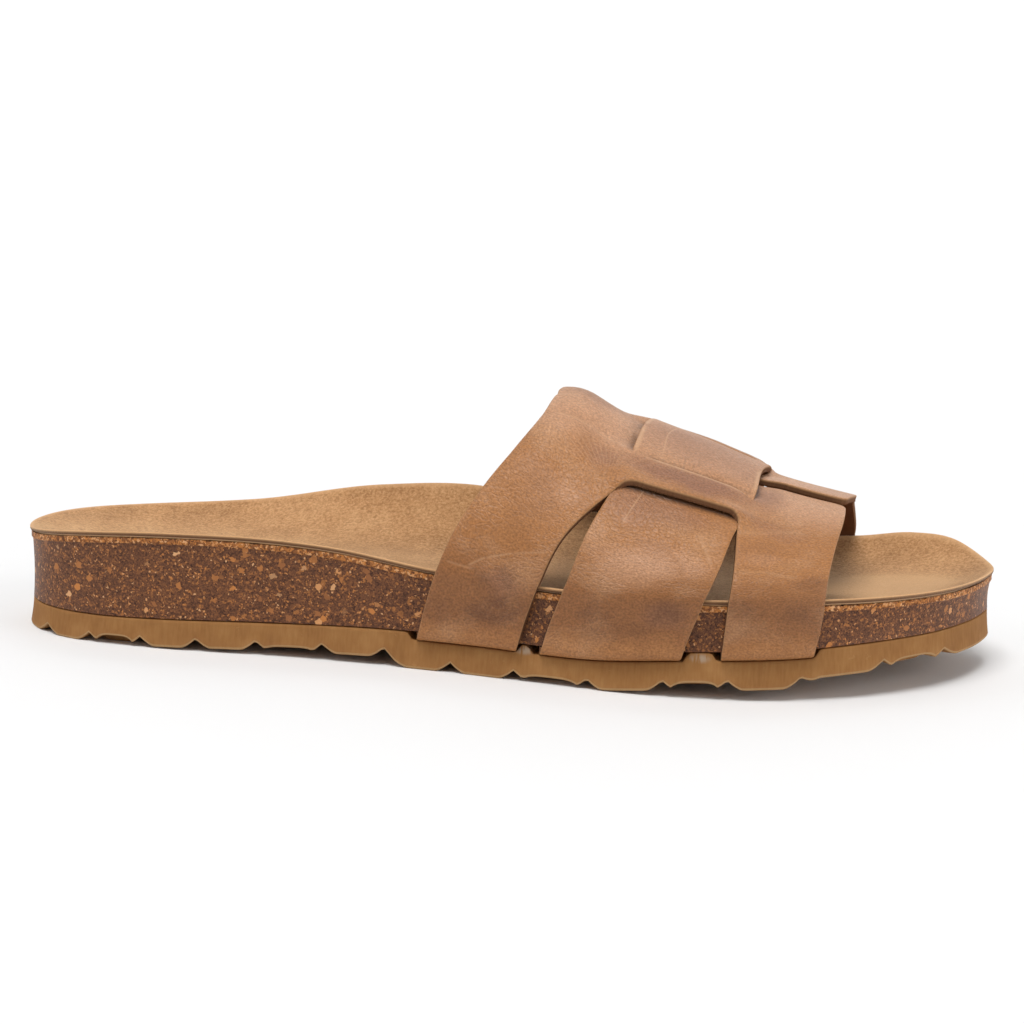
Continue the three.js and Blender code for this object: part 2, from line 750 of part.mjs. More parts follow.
const pieces = [
  { name: 'outsole', geometry: outsole, color: 0x96703d, roughness: 0.85 },
  { name: 'cork_footbed', geometry: corkFootbed, color: 0x6b4a31, roughness: 0.5 },
  { name: 'insole', geometry: insole, color: 0xc49c68, roughness: 0.95 },
  { name: 'upper', geometry: upper, color: 0xa9794f, roughness: 0.6 },
];

// Origin at the middle of the overall box, on the floor
const box = new THREE.Box3();
pieces.forEach((piece) => {
  piece.geometry.computeBoundingBox();
  box.union(piece.geometry.boundingBox);
});
const centre = box.getCenter(new THREE.Vector3());
const sandal = new THREE.Group();
sandal.name = 'sandal';
pieces.forEach((piece) => {
  piece.geometry.translate(-centre.x, -centre.y, -box.min.z);
  const material = new THREE.MeshStandardMaterial({
    color: piece.color,
    roughness: piece.roughness,
    metalness: 0,
  });
  const mesh = new THREE.Mesh(piece.geometry, material);
  mesh.name = piece.name;
  sandal.add(mesh);
});

export default sandal;
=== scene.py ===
import math

import bpy
import numpy as np
from mathutils import Matrix, Vector, geometry


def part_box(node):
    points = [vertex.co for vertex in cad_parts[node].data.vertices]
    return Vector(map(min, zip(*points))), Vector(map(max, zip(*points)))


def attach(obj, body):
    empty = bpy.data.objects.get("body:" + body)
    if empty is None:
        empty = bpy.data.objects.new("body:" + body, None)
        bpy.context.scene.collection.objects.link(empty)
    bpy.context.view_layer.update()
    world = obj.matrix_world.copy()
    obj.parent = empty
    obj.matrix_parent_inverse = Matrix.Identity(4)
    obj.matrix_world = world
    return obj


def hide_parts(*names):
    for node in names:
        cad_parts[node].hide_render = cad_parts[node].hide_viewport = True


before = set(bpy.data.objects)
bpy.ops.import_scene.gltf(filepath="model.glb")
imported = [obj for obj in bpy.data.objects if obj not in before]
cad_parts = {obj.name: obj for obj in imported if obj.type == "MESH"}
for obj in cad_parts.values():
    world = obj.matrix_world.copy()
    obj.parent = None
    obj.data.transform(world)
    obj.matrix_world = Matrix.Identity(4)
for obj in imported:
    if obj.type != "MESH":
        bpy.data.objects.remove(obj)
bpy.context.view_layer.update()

# Outsole: one piece of foamed rubber, moulded with lugs below and sanded round its side.
# Its top edge has shallow hollows for the strap ends, and it is glued under the cork.
# Sizes are in millimetres from the heel tip, and in_frame() turns them into the frame's metres.
LENGTH = 264
HEEL_WIDTH = 68
BALL_WIDTH = 97.5
SOLE_THICKNESS = 7.6
LEATHER_THICKNESS = 1.9
CLEARANCE = 0.3
FOLD = LEATHER_THICKNESS + CLEARANCE
SIDE_INSET = 1
TREAD_FLARE = 0.75


def table(columns, *rows):
    return {name: np.array(values, float) for name, values in zip(columns.split(), zip(*rows))}


def look_up(rows, column, at, key="at"):
    """Smooth value of a table's column at places given in its key column."""
    x, y = rows[key], rows[column]
    at = np.clip(np.asarray(at, float), x[0], x[-1])
    run = np.diff(x)
    slope = np.diff(y) / run
    inner = (slope[:-1] * run[1:] + slope[1:] * run[:-1]) / (run[:-1] + run[1:])
    tangent = np.concatenate([slope[:1], inner, slope[-1:]])
    i = np.clip(np.searchsorted(x, at, side="right") - 1, 0, len(run) - 1)
    t = (at - x[i]) / run[i]
    rise = t * t * (3 - 2 * t)
    bend = tangent[i] * t * (1 - t) ** 2 - tangent[i + 1] * t * t * (1 - t)
    return y[i] * (1 - rise) + y[i + 1] * rise + run[i] * bend


def smooth_step(value):
    t = np.clip(value, 0, 1)
    return t * t * (3 - 2 * t)


OUTLINE = table(
    "at lateral medial",
    (0, 0, 0), (0.012, 0.211, 0.211), (0.045, 0.366, 0.366), (0.1, 0.464, 0.465),
    (0.18, 0.502, 0.488), (0.28, 0.497, 0.444), (0.38, 0.461, 0.386), (0.48, 0.436, 0.366),
    (0.57, 0.454, 0.405), (0.64, 0.487, 0.46), (0.71, 0.502, 0.5), (0.78, 0.474, 0.503),
    (0.84, 0.412, 0.489), (0.89, 0.331, 0.459), (0.935, 0.223, 0.405), (0.97, 0.089, 0.332),
    (0.99, -0.028, 0.25), (1, -0.144, 0.144),
)
SEAM = table(
    "at height",
    (0, 1), (0.1, 1), (0.25, 1.14), (0.405, 1.289), (0.5, 1.289), (0.61, 1.289),
    (0.7, 1.56), (0.8, 1.72), (0.88, 1.9), (0.95, 2), (1, 2.06),
)
SWELL_START, SWELL_END = 0.25, 0.6
CURVE_STEPS = 40


def edge_curves():
    """The two sides of the footbed's outline, from heel tip to toe tip."""
    swell = smooth_step((OUTLINE["at"] - SWELL_START) / (SWELL_END - SWELL_START))
    width = HEEL_WIDTH + (BALL_WIDTH - HEEL_WIDTH) * swell
    x = OUTLINE["at"] * LENGTH
    lateral = np.column_stack([x, -OUTLINE["lateral"] * width])
    medial = np.column_stack([x, OUTLINE["medial"] * width])
    corners = np.vstack([lateral, medial[-2:0:-1]])
    t = np.linspace(0, 1, CURVE_STEPS, endpoint=False)[:, None]
    curve = []
    for i in range(len(corners)):
        before, start, end, after = (corners[(i + k) % len(corners)] for k in (-1, 0, 1, 2))
        a, b, c = (np.linalg.norm(q - p) ** 0.5
                   for p, q in ((before, start), (start, end), (end, after)))
        leave = b * ((start - before) / a - (end - before) / (a + b) + (end - start) / b)
        arrive = b * ((end - start) / b - (after - start) / (b + c) + (after - end) / c)
        curve.append(start + leave * t
                     + (3 * (end - start) - 2 * leave - arrive) * t ** 2
                     + (2 * (start - end) + leave + arrive) * t ** 3)
    curve = np.vstack(curve)
    toe = (len(lateral) - 1) * CURVE_STEPS
    return curve[:toe + 1], np.vstack([curve[toe:], curve[:1]])[::-1]


LATERAL_EDGE, MEDIAL_EDGE = edge_curves()

# The middle of the insole's box gives the sideways place of the heel-to-toe line in the frame
EDGE_MIDDLE = (LATERAL_EDGE[:, 1].min() + MEDIAL_EDGE[:, 1].max()) / 2
INSOLE_LOW, INSOLE_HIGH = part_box("insole")
SHIFT = np.array([-LENGTH / 2, (INSOLE_LOW.y + INSOLE_HIGH.y) * 500 - EDGE_MIDDLE, 0])


def in_frame(points):
    return (np.asarray(points, float) + SHIFT) / 1000


def half_width(side, x):
    lateral = -np.interp(x, LATERAL_EDGE[:, 0], LATERAL_EDGE[:, 1])
    medial = np.interp(x, MEDIAL_EDGE[:, 0], MEDIAL_EDGE[:, 1])
    return np.where(np.asarray(side) < 0, lateral, medial)


def seam_height(x):
    return SOLE_THICKNESS * look_up(SEAM, "height", np.asarray(x) / LENGTH)


THICK_START, THICK_END, THICK_RAMP = 0.405, 0.825, 0.02


def ground_height(x):
    at = np.asarray(x) / LENGTH
    zone = (np.clip((at - THICK_START) / THICK_RAMP, 0, 1)
            * np.clip((THICK_END - at) / THICK_RAMP, 0, 1))
    return np.maximum(seam_height(x) - SOLE_THICKNESS - FOLD * zone, 0)


# Stations run heel to toe on both sides, and rings shrink from the edge to a spine
STATIONS = 420
SPINE_START, SPINE_END, SPINE_BEND = 33, LENGTH - 45, 3
along = LENGTH * (1 - np.cos(np.pi * np.arange(STATIONS + 1) / STATIONS)) / 2
LOOP_X = np.concatenate([along, along[-2:0:-1]])
LOOP_SIDE = np.concatenate([-np.ones(STATIONS + 1), np.ones(STATIONS - 1)])
LOOP_WIDTH = half_width(LOOP_SIDE, LOOP_X)


def ring(share, inset, height):
    """Points of one ring: its share of the way out, a further inset, and its height function."""
    spine_x = np.clip(LOOP_X, SPINE_START, SPINE_END)
    spine = np.column_stack(
        [spine_x, SPINE_BEND * (spine_x - SPINE_START) / (SPINE_END - SPINE_START)])
    reach = np.column_stack([LOOP_X, LOOP_SIDE * LOOP_WIDTH]) - spine
    distance = np.linalg.norm(reach, axis=1)
    out = share * np.maximum(distance - inset, 0) / distance
    flat = spine + reach * out[:, None]
    return np.column_stack([flat, height(LOOP_X, LOOP_SIDE, flat[:, 0], out)])


def new_piece(name, points, faces):
    """Mesh piece from points in millimetres, smooth all over."""
    mesh = bpy.data.meshes.new(name)
    mesh.from_pydata(in_frame(points).tolist(), [], faces)
    mesh.validate()
    mesh.update()
    mesh.shade_smooth()
    piece = bpy.data.objects.new(name, mesh)
    bpy.context.scene.collection.objects.link(piece)
    return piece


def loft(name, rings, label, values):
    """Closed piece lofted through rings from spine to spine, with a named value kept per ring."""
    count = len(LOOP_X)
    points, names = np.unique(
        np.round(np.vstack(rings), 5), axis=0, return_inverse=True)
    names = names.reshape(len(rings), count)
    across = np.roll(names, -1, axis=1)
    quads = np.stack([names[:-1], across[:-1], across[1:], names[1:]], axis=-1).reshape(-1, 4)
    faces = []
    for quad in quads.tolist():
        face = [v for k, v in enumerate(quad) if v != quad[k - 1]]
        if len(set(face)) == len(face) > 2:
            faces.append(face)
    piece = new_piece(name, points, faces)
    kept = np.zeros(len(points), np.float32)
    for row, value in zip(names, values):
        kept[row] = value
    piece.data.attributes.new(label, "FLOAT", "POINT").data.foreach_set("value", kept)
    return piece


NOTCH_WIDTH, NOTCH_DEPTH, CHANNEL_DEPTH = 8, 2.5, 2
EDGE_LUG = 0.87
NOTCHES = table(
    "at arch",
    (0.043, 0), (0.096, 2.3), (0.152, 0), (0.21, 0), (0.271, 1.2), (0.339, 0), (0.402, 0),
    (0.47, 0), (0.534, 1.7), (0.606, 0), (0.678, 2), (0.739, 0), (0.807, 0), (0.886, 2.2),
    (0.947, 0),
)


def notch_height(x):
    """Notches between the lugs, with a sharp root and soft shoulders."""
    away = np.abs(np.asarray(x)[:, None] - NOTCHES["at"] * LENGTH).min(axis=1)
    return NOTCH_DEPTH * np.clip(1 - away / (NOTCH_WIDTH / 2), 0, 1) ** 1.5


ARCH_MARGIN = 1.5


def arch_height(x):
    """Shallow arches cut in the edge of some lugs."""
    starts = NOTCHES["at"][:-1] * LENGTH
    ends = NOTCHES["at"][1:] * LENGTH
    offset = np.abs(np.asarray(x)[:, None] - (starts + ends) / 2) / (
        (ends - starts) / 2 - ARCH_MARGIN)
    return (NOTCHES["arch"][:-1] * np.clip(1 - offset ** 4, 0, 1)).max(axis=1)


POCKET_SLOPE = 1.3
FLANGE, BEND_RADIUS = 9, 2.4
POCKET_INSET = FLANGE + BEND_RADIUS + SIDE_INSET + CLEARANCE
TOP_ADVANCE, SIDE_ADVANCE = 5.2, 4.8
STRAP_ENDS = table("start end", (113.5, 141.4), (145.6, 183.9), (192.2, 216.2))


def pocket_depth(x, side):
    """Hollows for the strap ends, with a slope at each end."""
    at = (x - (TOP_ADVANCE + SIDE_ADVANCE) * (side > 0))[:, None]
    depth = (np.clip((at - STRAP_ENDS["start"]) / POCKET_SLOPE + 1, 0, 1)
             * np.clip((STRAP_ENDS["end"] - at) / POCKET_SLOPE + 1, 0, 1))
    return FOLD * depth.max(axis=1)


def lug_bottom(lift, arched, channel=0):
    def height(x, side, in_x, out):
        top = np.maximum(notch_height(x), arch_height(x) if arched else 0)
        return ground_height(in_x) + np.maximum(top, channel) + lift
    return height


def spine_bottom(x, side, in_x, out):
    return ground_height(in_x) + notch_height(in_x)


def sole_top(x, side, in_x, out):
    return seam_height(in_x) - CLEARANCE


def pocket_top(x, side, in_x, out):
    return sole_top(x, side, in_x, out) - pocket_depth(x, side)


SIDE_START, FLARE_POWER = 0.45, 1.6


def sole_side(share):
    """Ring of the outsole's side, from 0 at the tread to 1 at the top."""
    low, high = lug_bottom(SIDE_START, True), pocket_top

    def height(*where):
        return low(*where) * (1 - share) + high(*where) * share
    return ring(1, SIDE_INSET - TREAD_FLARE * (1 - share) ** FLARE_POWER, height)


def lug_rings(shares, lift=0, arched=False, channel=0):
    return [ring(share, 0, lug_bottom(lift, arched, channel)) for share in shares]


sole_rings = [
    ring(0, 0, spine_bottom), *lug_rings((0.1, 0.2, 0.31)),
    *lug_rings((0.335, 0.405), channel=CHANNEL_DEPTH),
    *lug_rings((0.43, 0.52, 0.62, 0.72, 0.8, EDGE_LUG - 0.02)),
    *lug_rings([EDGE_LUG], lift=0.3),
    *lug_rings((EDGE_LUG + 0.015, 0.93, 0.97), arched=True),
    ring(1, 0.7, lug_bottom(0, True)), ring(1, 0.35, lug_bottom(0.12, True)),
    *[sole_side(share) for share in (0, 0.05, 0.2, 0.45, 0.65, 0.85, 0.97)],
    ring(1, SIDE_INSET + 0.3, pocket_top), ring(1, POCKET_INSET, pocket_top),
    ring(1, POCKET_INSET + CLEARANCE, sole_top), ring(0, 0, sole_top)]
# A thin painted highlight runs along the lower edge of the side, on these two rings
FIRST_HIGHLIGHT_RING = 17
highlight_rows = np.zeros(len(sole_rings))
highlight_rows[FIRST_HIGHLIGHT_RING:FIRST_HIGHLIGHT_RING + 2] = 0.6, 0.8
outsole = loft("outsole_foam", sole_rings, "painted_edge_highlight", highlight_rows)


def new_material(name, color, roughness, specular):
    """Material with its Principled shader, and its plain values on the shader's own sockets."""
    material = bpy.data.materials.new(name)
    material.use_nodes = True
    shader = material.node_tree.nodes["Principled BSDF"]
    shader.inputs["Base Color"].default_value = (*color, 1)
    shader.inputs["Roughness"].default_value = roughness
    shader.inputs["Specular IOR Level"].default_value = specular
    return material, material.node_tree, shader


def node(tree, kind, inputs=None, **settings):
    """Node of a shader tree, with its settings, and its inputs set to values or linked."""
    made = tree.nodes.new(kind)
    for name, value in settings.items():
        setattr(made, name, value)
    for key, value in (inputs or {}).items():
        if isinstance(value, bpy.types.NodeSocket):
            tree.links.new(value, made.inputs[key])
        else:
            made.inputs[key].default_value = value
    return made


def calculate(tree, operation, *values, clamp=False):
    """Result of a calculation with sockets or numbers."""
    return node(tree, "ShaderNodeMath", dict(enumerate(values)), operation=operation,
                use_clamp=clamp).outputs[0]


def times(tree, a, b):
    return calculate(tree, "MULTIPLY", a, b)


def vector(tree, operation, *values):
    return node(tree, "ShaderNodeVectorMath", dict(enumerate(values)), operation=operation)


def rescaled(tree, value, low, high, new_low=0.0, new_high=1.0, **settings):
    """Value brought from low..high to new_low..new_high, and held there."""
    return node(tree, "ShaderNodeMapRange", {
        "Value": value, "From Min": low, "From Max": high, "To Min": new_low,
        "To Max": new_high}, **settings).outputs[0]


def noise(tree, place, scale, detail, roughness=0.5):
    return node(tree, "ShaderNodeTexNoise", {
        "Vector": place, "Scale": scale, "Detail": detail, "Roughness": roughness}).outputs


def painted(tree, attribute):
    """A value kept on the mesh."""
    return node(tree, "ShaderNodeAttribute", attribute_name=attribute).outputs["Fac"]


def ramp(tree, factor, *stops):
    """Colour ramp through (place, colour) stops."""
    made = node(tree, "ShaderNodeValToRGB", {"Fac": factor})
    elements = made.color_ramp.elements
    while len(elements) < len(stops):
        elements.new(0.5)
    for element, (position, color) in zip(elements, stops):
        element.position = position
        element.color = (*color, 1)
    return made.outputs["Color"]


def mix(tree, factor, a, b):
    """Colour mix, with a and b as colours or sockets."""
    a, b = ((*c, 1) if isinstance(c, tuple) else c for c in (a, b))
    return node(tree, "ShaderNodeMix", {0: factor, 6: a, 7: b}, data_type="RGBA").outputs[2]


def lay_bumps(tree, shader, *layers):
    """Bumps one over another, from (height, strength, distance in metres, whether it is sunk)."""
    normal = {}
    for height, strength, distance, sunk in layers:
        bump = node(tree, "ShaderNodeBump", {
            "Height": height, "Strength": strength, "Distance": distance, **normal}, invert=sunk)
        normal = {"Normal": bump.outputs[0]}
    tree.links.new(bump.outputs[0], shader.inputs["Normal"])


def new_group(name, **inputs):
    """Shader node group that puts out a mask, with its named inputs and its output socket."""
    group = bpy.data.node_groups.new(name, "ShaderNodeTree")
    for label, value in inputs.items():
        kind = "NodeSocketVector" if isinstance(value, tuple) else "NodeSocketFloat"
        socket = group.interface.new_socket(label, in_out="INPUT", socket_type=kind)
        socket.default_value = value
    group.interface.new_socket("Mask", in_out="OUTPUT", socket_type="NodeSocketFloat")
    given = group.nodes.new("NodeGroupInput").outputs
    return group, given, group.nodes.new("NodeGroupOutput").inputs["Mask"]


def masked(tree, group, **inputs):
    """Mask from one use of a group."""
    inputs = {label.capitalize(): value for label, value in inputs.items()}
    return node(tree, "ShaderNodeGroup", inputs, node_tree=group).outputs["Mask"]


# Specks: the nicks in the sole and the flecks in the suede
speck_group, given, mask = new_group(
    "Specks", Vector=(0, 0, 0), Scale=400, Amount=0.3, Softness=0.1)
speck_noise = noise(speck_group, given["Vector"], given["Scale"], 3)["Fac"]
least = calculate(speck_group, "SUBTRACT", 1.0, given["Amount"])
most = calculate(speck_group, "ADD", least, given["Softness"])
speck_group.links.new(rescaled(speck_group, speck_noise, least, most), mask)

# A soft round mark, such as a smudge, glue or a painted highlight, at a centre with its reach each
# way
mark_group, given, mask = new_group(
    "Soft mark", Vector=(0, 0, 0), Centre=(0, 0, 0), Reach=(1, 1, 1), Strength=1)
away = vector(mark_group, "SUBTRACT", given["Vector"], given["Centre"]).outputs[0]
away = vector(mark_group, "DIVIDE", away, given["Reach"]).outputs[0]
away = vector(mark_group, "LENGTH", away).outputs["Value"]
soft = rescaled(mark_group, away, 1.0, 0.2, interpolation_type="SMOOTHSTEP")
mark_group.links.new(times(mark_group, soft, given["Strength"]), mask)

SOLE_COLOR = (0.28, 0.13, 0.041)
SOLE_DARK = (0.235, 0.104, 0.032)
SOLE_LIGHT = (0.35, 0.175, 0.062)
EDGE_HIGHLIGHT_COLOR = (0.52, 0.36, 0.19)
GLUE_COLOR = (0.42, 0.36, 0.29)
GLUE_SPOTS, GLUE_DEPTH = (143.5, 188), 1.6
GLUE_REACH = (0.0035, 0.006, 0.0016)
sole_material, tree, shader = new_material("Sanded sole foam", SOLE_COLOR, 0.85, 0.2)
where = node(tree, "ShaderNodeTexCoord").outputs["Object"]
sanding = node(tree, "ShaderNodeMapping", {"Vector": where, "Scale": (1, 1, 0.1)}).outputs[0]
streaks = noise(tree, sanding, 1500, 4)["Fac"]
clouds = noise(tree, where, 120, 6)["Fac"]
nicks = masked(tree, speck_group, vector=where, scale=520.0, amount=0.31, softness=0.04)
tone = ramp(tree, clouds, (0.32, SOLE_DARK), (0.5, SOLE_COLOR), (0.72, SOLE_LIGHT))
tone = mix(tree, 0.3, tone, ramp(tree, streaks, (0.35, SOLE_DARK), (0.65, SOLE_LIGHT)))
tone = mix(tree, times(tree, nicks, 0.5), tone, SOLE_LIGHT)
# Painted highlight along the lower edge of the side
painted_edge_highlight = times(tree, painted(tree, "painted_edge_highlight"), 0.6)
tone = mix(tree, painted_edge_highlight, tone, EDGE_HIGHLIGHT_COLOR)
for x in GLUE_SPOTS:
    spot = in_frame((x, -half_width(-1, x) + SIDE_INSET, seam_height(x) - GLUE_DEPTH)).tolist()
    glue = masked(tree, mark_group, vector=where, centre=spot, reach=GLUE_REACH, strength=0.55)
    glue = times(tree, glue, rescaled(tree, streaks, 0.4, 0.55))
    tone = mix(tree, glue, tone, GLUE_COLOR)
tree.links.new(tone, shader.inputs["Base Color"])
lay_bumps(tree, shader, (streaks, 0.25, 0.0003, False), (nicks, 0.4, 0.0003, False))
outsole.data.materials.append(sole_material)
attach(outsole, "root")
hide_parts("outsole")

# Cork footbed: pressed from cork granules and latex, with a hollow side under a clear seal.
# Just below the suede a narrow strip of its edge is left raw and paler.
RIM_HEIGHT = 30
SUEDE_THICKNESS = 1.2
SUEDE_OVERHANG = 0.4
STRIP_HEIGHT = 2
STRIP_STEP = 0.35
SIDE_HOLLOW = 0.3
RIM = table(
    "at lateral medial",
    (0, 0.9, 0.9), (0.08, 0.995, 0.915), (0.2, 1.055, 1.005), (0.35, 1.015, 1.243),
    (0.45, 0.896, 1.28), (0.575, 0.838, 1.04), (0.68, 0.848, 0.93), (0.8, 0.873, 0.875),
    (0.87, 0.876, 0.92), (0.925, 0.877, 1.01), (0.965, 0.877, 1.01), (1, 0.885, 0.885),
)
FOOTBED = table(
    "at height lateral medial",
    (0, 0.78, 3, 3), (0.13, 0.72, 3, 3), (0.35, 0.77, 3.6, 2.2), (0.5, 0.74, 4, 2.1),
    (0.65, 0.68, 5, 3), (0.75, 0.62, 5.5, 5), (0.87, 0.66, 5.5, 5.5), (1, 0.76, 5, 5),
)


def rim_height(side, x):
    at = np.asarray(x) / LENGTH
    return RIM_HEIGHT * np.where(
        np.asarray(side) < 0, look_up(RIM, "lateral", at), look_up(RIM, "medial", at))


def bed_height(drop):
    def height(x, side, in_x, out):
        at = in_x / LENGTH
        middle = RIM_HEIGHT * look_up(FOOTBED, "height", at)
        power = np.where(side < 0, look_up(FOOTBED, "lateral", at), look_up(FOOTBED, "medial", at))
        return middle + (rim_height(side, x) - middle) * out ** power - drop
    return height


def cork_side(share):
    """Ring of the sealed side, from 0 under the raw strip to 1 at the sole."""
    hollow = SIDE_HOLLOW * math.sin(math.pi * share) ** 0.8
    top_inset = SUEDE_OVERHANG + STRIP_STEP
    inset = top_inset + (SIDE_INSET - top_inset) * share + hollow

    def height(x, side, in_x, out):
        top = rim_height(side, x) - SUEDE_THICKNESS - CLEARANCE - STRIP_HEIGHT
        return top + (seam_height(x) - top) * share
    return ring(1, inset, height)


def cork_strip(drop, inset):
    def height(x, side, in_x, out):
        return rim_height(side, x) - SUEDE_THICKNESS - CLEARANCE - drop
    return ring(1, inset, height)


def cork_base(x, side, in_x, out):
    return seam_height(in_x)


BED_SHARES = (1, 0.985, 0.965, 0.94, 0.9, 0.85, 0.78, 0.7, 0.6, 0.5, 0.4, 0.28, 0.14, 0)
CORK_DROP = SUEDE_THICKNESS + CLEARANCE
cork_rings = [ring(s, i, cork_base) for s, i in ((0, 0), (1, POCKET_INSET), (1, SIDE_INSET))]
cork_rings += [cork_side(s) for s in (0.99, 0.92, 0.82, 0.7, 0.55, 0.4, 0.25, 0.12, 0.03, 0)]
cork_rings += [cork_strip(STRIP_HEIGHT - 0.15, SUEDE_OVERHANG + 0.1)]
cork_rings += [cork_strip(d, SUEDE_OVERHANG) for d in (STRIP_HEIGHT - 0.4, 1, 0.3)]
cork_rings += [ring(s, SUEDE_OVERHANG, bed_height(CORK_DROP)) for s in BED_SHARES]
FIRST_RAW = 13
raw_strip = np.zeros(len(cork_rings))
raw_strip[FIRST_RAW:] = 1
cork = loft("cork_bed", cork_rings, "raw_strip", raw_strip)


def scaled(tree, value, factor):
    """Vector or colour times a number."""
    return node(tree, "ShaderNodeVectorMath", {0: value, "Scale": factor},
                operation="SCALE").outputs[0]


CORK_DARK = (0.035, 0.0135, 0.008)
CORK_BROWN = (0.12, 0.048, 0.023)
CORK_WARM = (0.26, 0.1, 0.037)
CORK_RUST = (0.5, 0.19, 0.05)
CORK_TAN = (0.66, 0.36, 0.17)
GRAIN_SCALE, CHIP_SCALE = 1900, 640
cork_material, tree, shader = new_material("Sealed cork", CORK_BROWN, 0.55, 0.1)
where = node(tree, "ShaderNodeTexCoord").outputs["Object"]
bent = vector(tree, "ADD", where, scaled(
    tree, noise(tree, where, 1200, 3)["Color"], 0.0013)).outputs[0]
grains = node(tree, "ShaderNodeTexVoronoi", {"Vector": bent, "Scale": GRAIN_SCALE})
chips = node(tree, "ShaderNodeTexVoronoi", {"Vector": bent, "Scale": CHIP_SCALE})
pick = node(tree, "ShaderNodeSeparateColor", {"Color": grains.outputs["Color"]}).outputs[0]
fine = noise(tree, where, 2600, 3)["Fac"]
tone = ramp(tree, pick, (0.0, CORK_DARK), (0.3, CORK_BROWN), (0.66, CORK_BROWN),
            (0.88, CORK_WARM), (1.0, CORK_RUST))
tone = mix(tree, 0.4, tone, ramp(
    tree, fine, (0.38, CORK_DARK), (0.5, CORK_BROWN), (0.62, CORK_WARM)))
for cells, least, core in ((grains, 0.9, 0.6), (chips, 0.94, 0.75)):
    lot = node(tree, "ShaderNodeSeparateColor", {"Color": cells.outputs["Color"]}).outputs
    chosen = rescaled(tree, lot[1], least, least + 0.02)
    solid = rescaled(tree, cells.outputs["Distance"], core, core - 0.15)
    chip_tone = ramp(tree, lot[2], (0.0, CORK_WARM), (0.6, CORK_RUST), (1.0, CORK_TAN))
    tone = mix(tree, times(tree, solid, chosen), tone, chip_tone)
strip = painted(tree, "raw_strip")
pale = ramp(tree, pick, (0.0, CORK_BROWN), (0.4, CORK_WARM), (0.7, CORK_RUST), (1.0, CORK_TAN))
tree.links.new(mix(tree, strip, tone, pale), shader.inputs["Base Color"])
tree.links.new(rescaled(tree, strip, 0.0, 1.0, 0.2, 0.0), shader.inputs["Coat Weight"])
shader.inputs["Coat Roughness"].default_value = 0.3
lay_bumps(tree, shader, (fine, 0.5, 0.0003, False))
cork.data.materials.append(cork_material)
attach(cork, "root")
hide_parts("cork_footbed")

# Insole: suede glued over the footbed, rough side up, and trimmed at the rim.
# Its nap is combed in patches, and its cut edge shows as a thin line.
insole_rings = [ring(s, 0.15, bed_height(SUEDE_THICKNESS)) for s in BED_SHARES[::-1]]
insole_rings += [ring(1, 0.02, bed_height(SUEDE_THICKNESS * d)) for d in (0.8, 0.5, 0.3)]
insole_rings += [ring(1, 0.12, bed_height(0.12))]
insole_rings += [ring(s, 0.35, bed_height(0)) for s in BED_SHARES]
trimmed = np.zeros(len(insole_rings))
trimmed[len(BED_SHARES) - 1:len(BED_SHARES) + 6] = 1, 1, 0.85, 0.55, 0.5, 0.5, 0.3
insole = loft("suede_insole", insole_rings, "trimmed_side", trimmed)

SUEDE_COLOR = (0.48, 0.25, 0.107)
SUEDE_DARK = (0.26, 0.12, 0.043)
SUEDE_PALE = (0.66, 0.385, 0.19)
TOE_BED_HIGHLIGHT_COLOR = (0.6, 0.35, 0.17)
CUT_SUEDE = (0.13, 0.06, 0.028)
TOE_BED_HIGHLIGHT_PLACE, TOE_BED_HIGHLIGHT_REACH = (233, 8, 20), (0.026, 0.019, 0.05)
suede_material, tree, shader = new_material("Suede nap", SUEDE_COLOR, 0.95, 0.15)
where = node(tree, "ShaderNodeTexCoord").outputs["Object"]
nap = noise(tree, where, 1300, 5, 0.7)["Fac"]
patches = noise(tree, where, 45, 8, 0.66)["Fac"]
fleck = masked(tree, speck_group, vector=where, scale=620.0, amount=0.4, softness=0.08)
tone = ramp(tree, patches, (0.34, SUEDE_DARK), (0.5, SUEDE_COLOR), (0.7, SUEDE_PALE))
tone = mix(tree, 0.55, tone, ramp(
    tree, nap, (0.38, SUEDE_DARK), (0.5, SUEDE_COLOR), (0.62, SUEDE_PALE)))
tone = mix(tree, times(tree, fleck, 0.5), tone, SUEDE_DARK)
# Painted pool of light on the flat toe bed
toe_bed_highlight = masked(tree, mark_group, vector=where, centre=in_frame(TOE_BED_HIGHLIGHT_PLACE).tolist(),
              reach=TOE_BED_HIGHLIGHT_REACH, strength=1.0)
tone = mix(tree, rescaled(tree, toe_bed_highlight, 0.0, 0.3, 0.0, 0.7), tone, TOE_BED_HIGHLIGHT_COLOR)
side = painted(tree, "trimmed_side")
tone = mix(tree, rescaled(tree, side, 0.0, 0.5, 0.0, 0.75), tone, SUEDE_PALE)
tone = mix(tree, rescaled(tree, side, 0.6, 1.0), tone, CUT_SUEDE)
tree.links.new(tone, shader.inputs["Base Color"])
shader.inputs["Sheen Weight"].default_value = 0.35
shader.inputs["Sheen Roughness"].default_value = 0.5
shader.inputs["Sheen Tint"].default_value = (1, 0.85, 0.65, 1)
lay_bumps(tree, shader, (nap, 0.6, 0.0004, False))
insole.data.materials.append(suede_material)
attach(insole, "root")
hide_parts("insole")

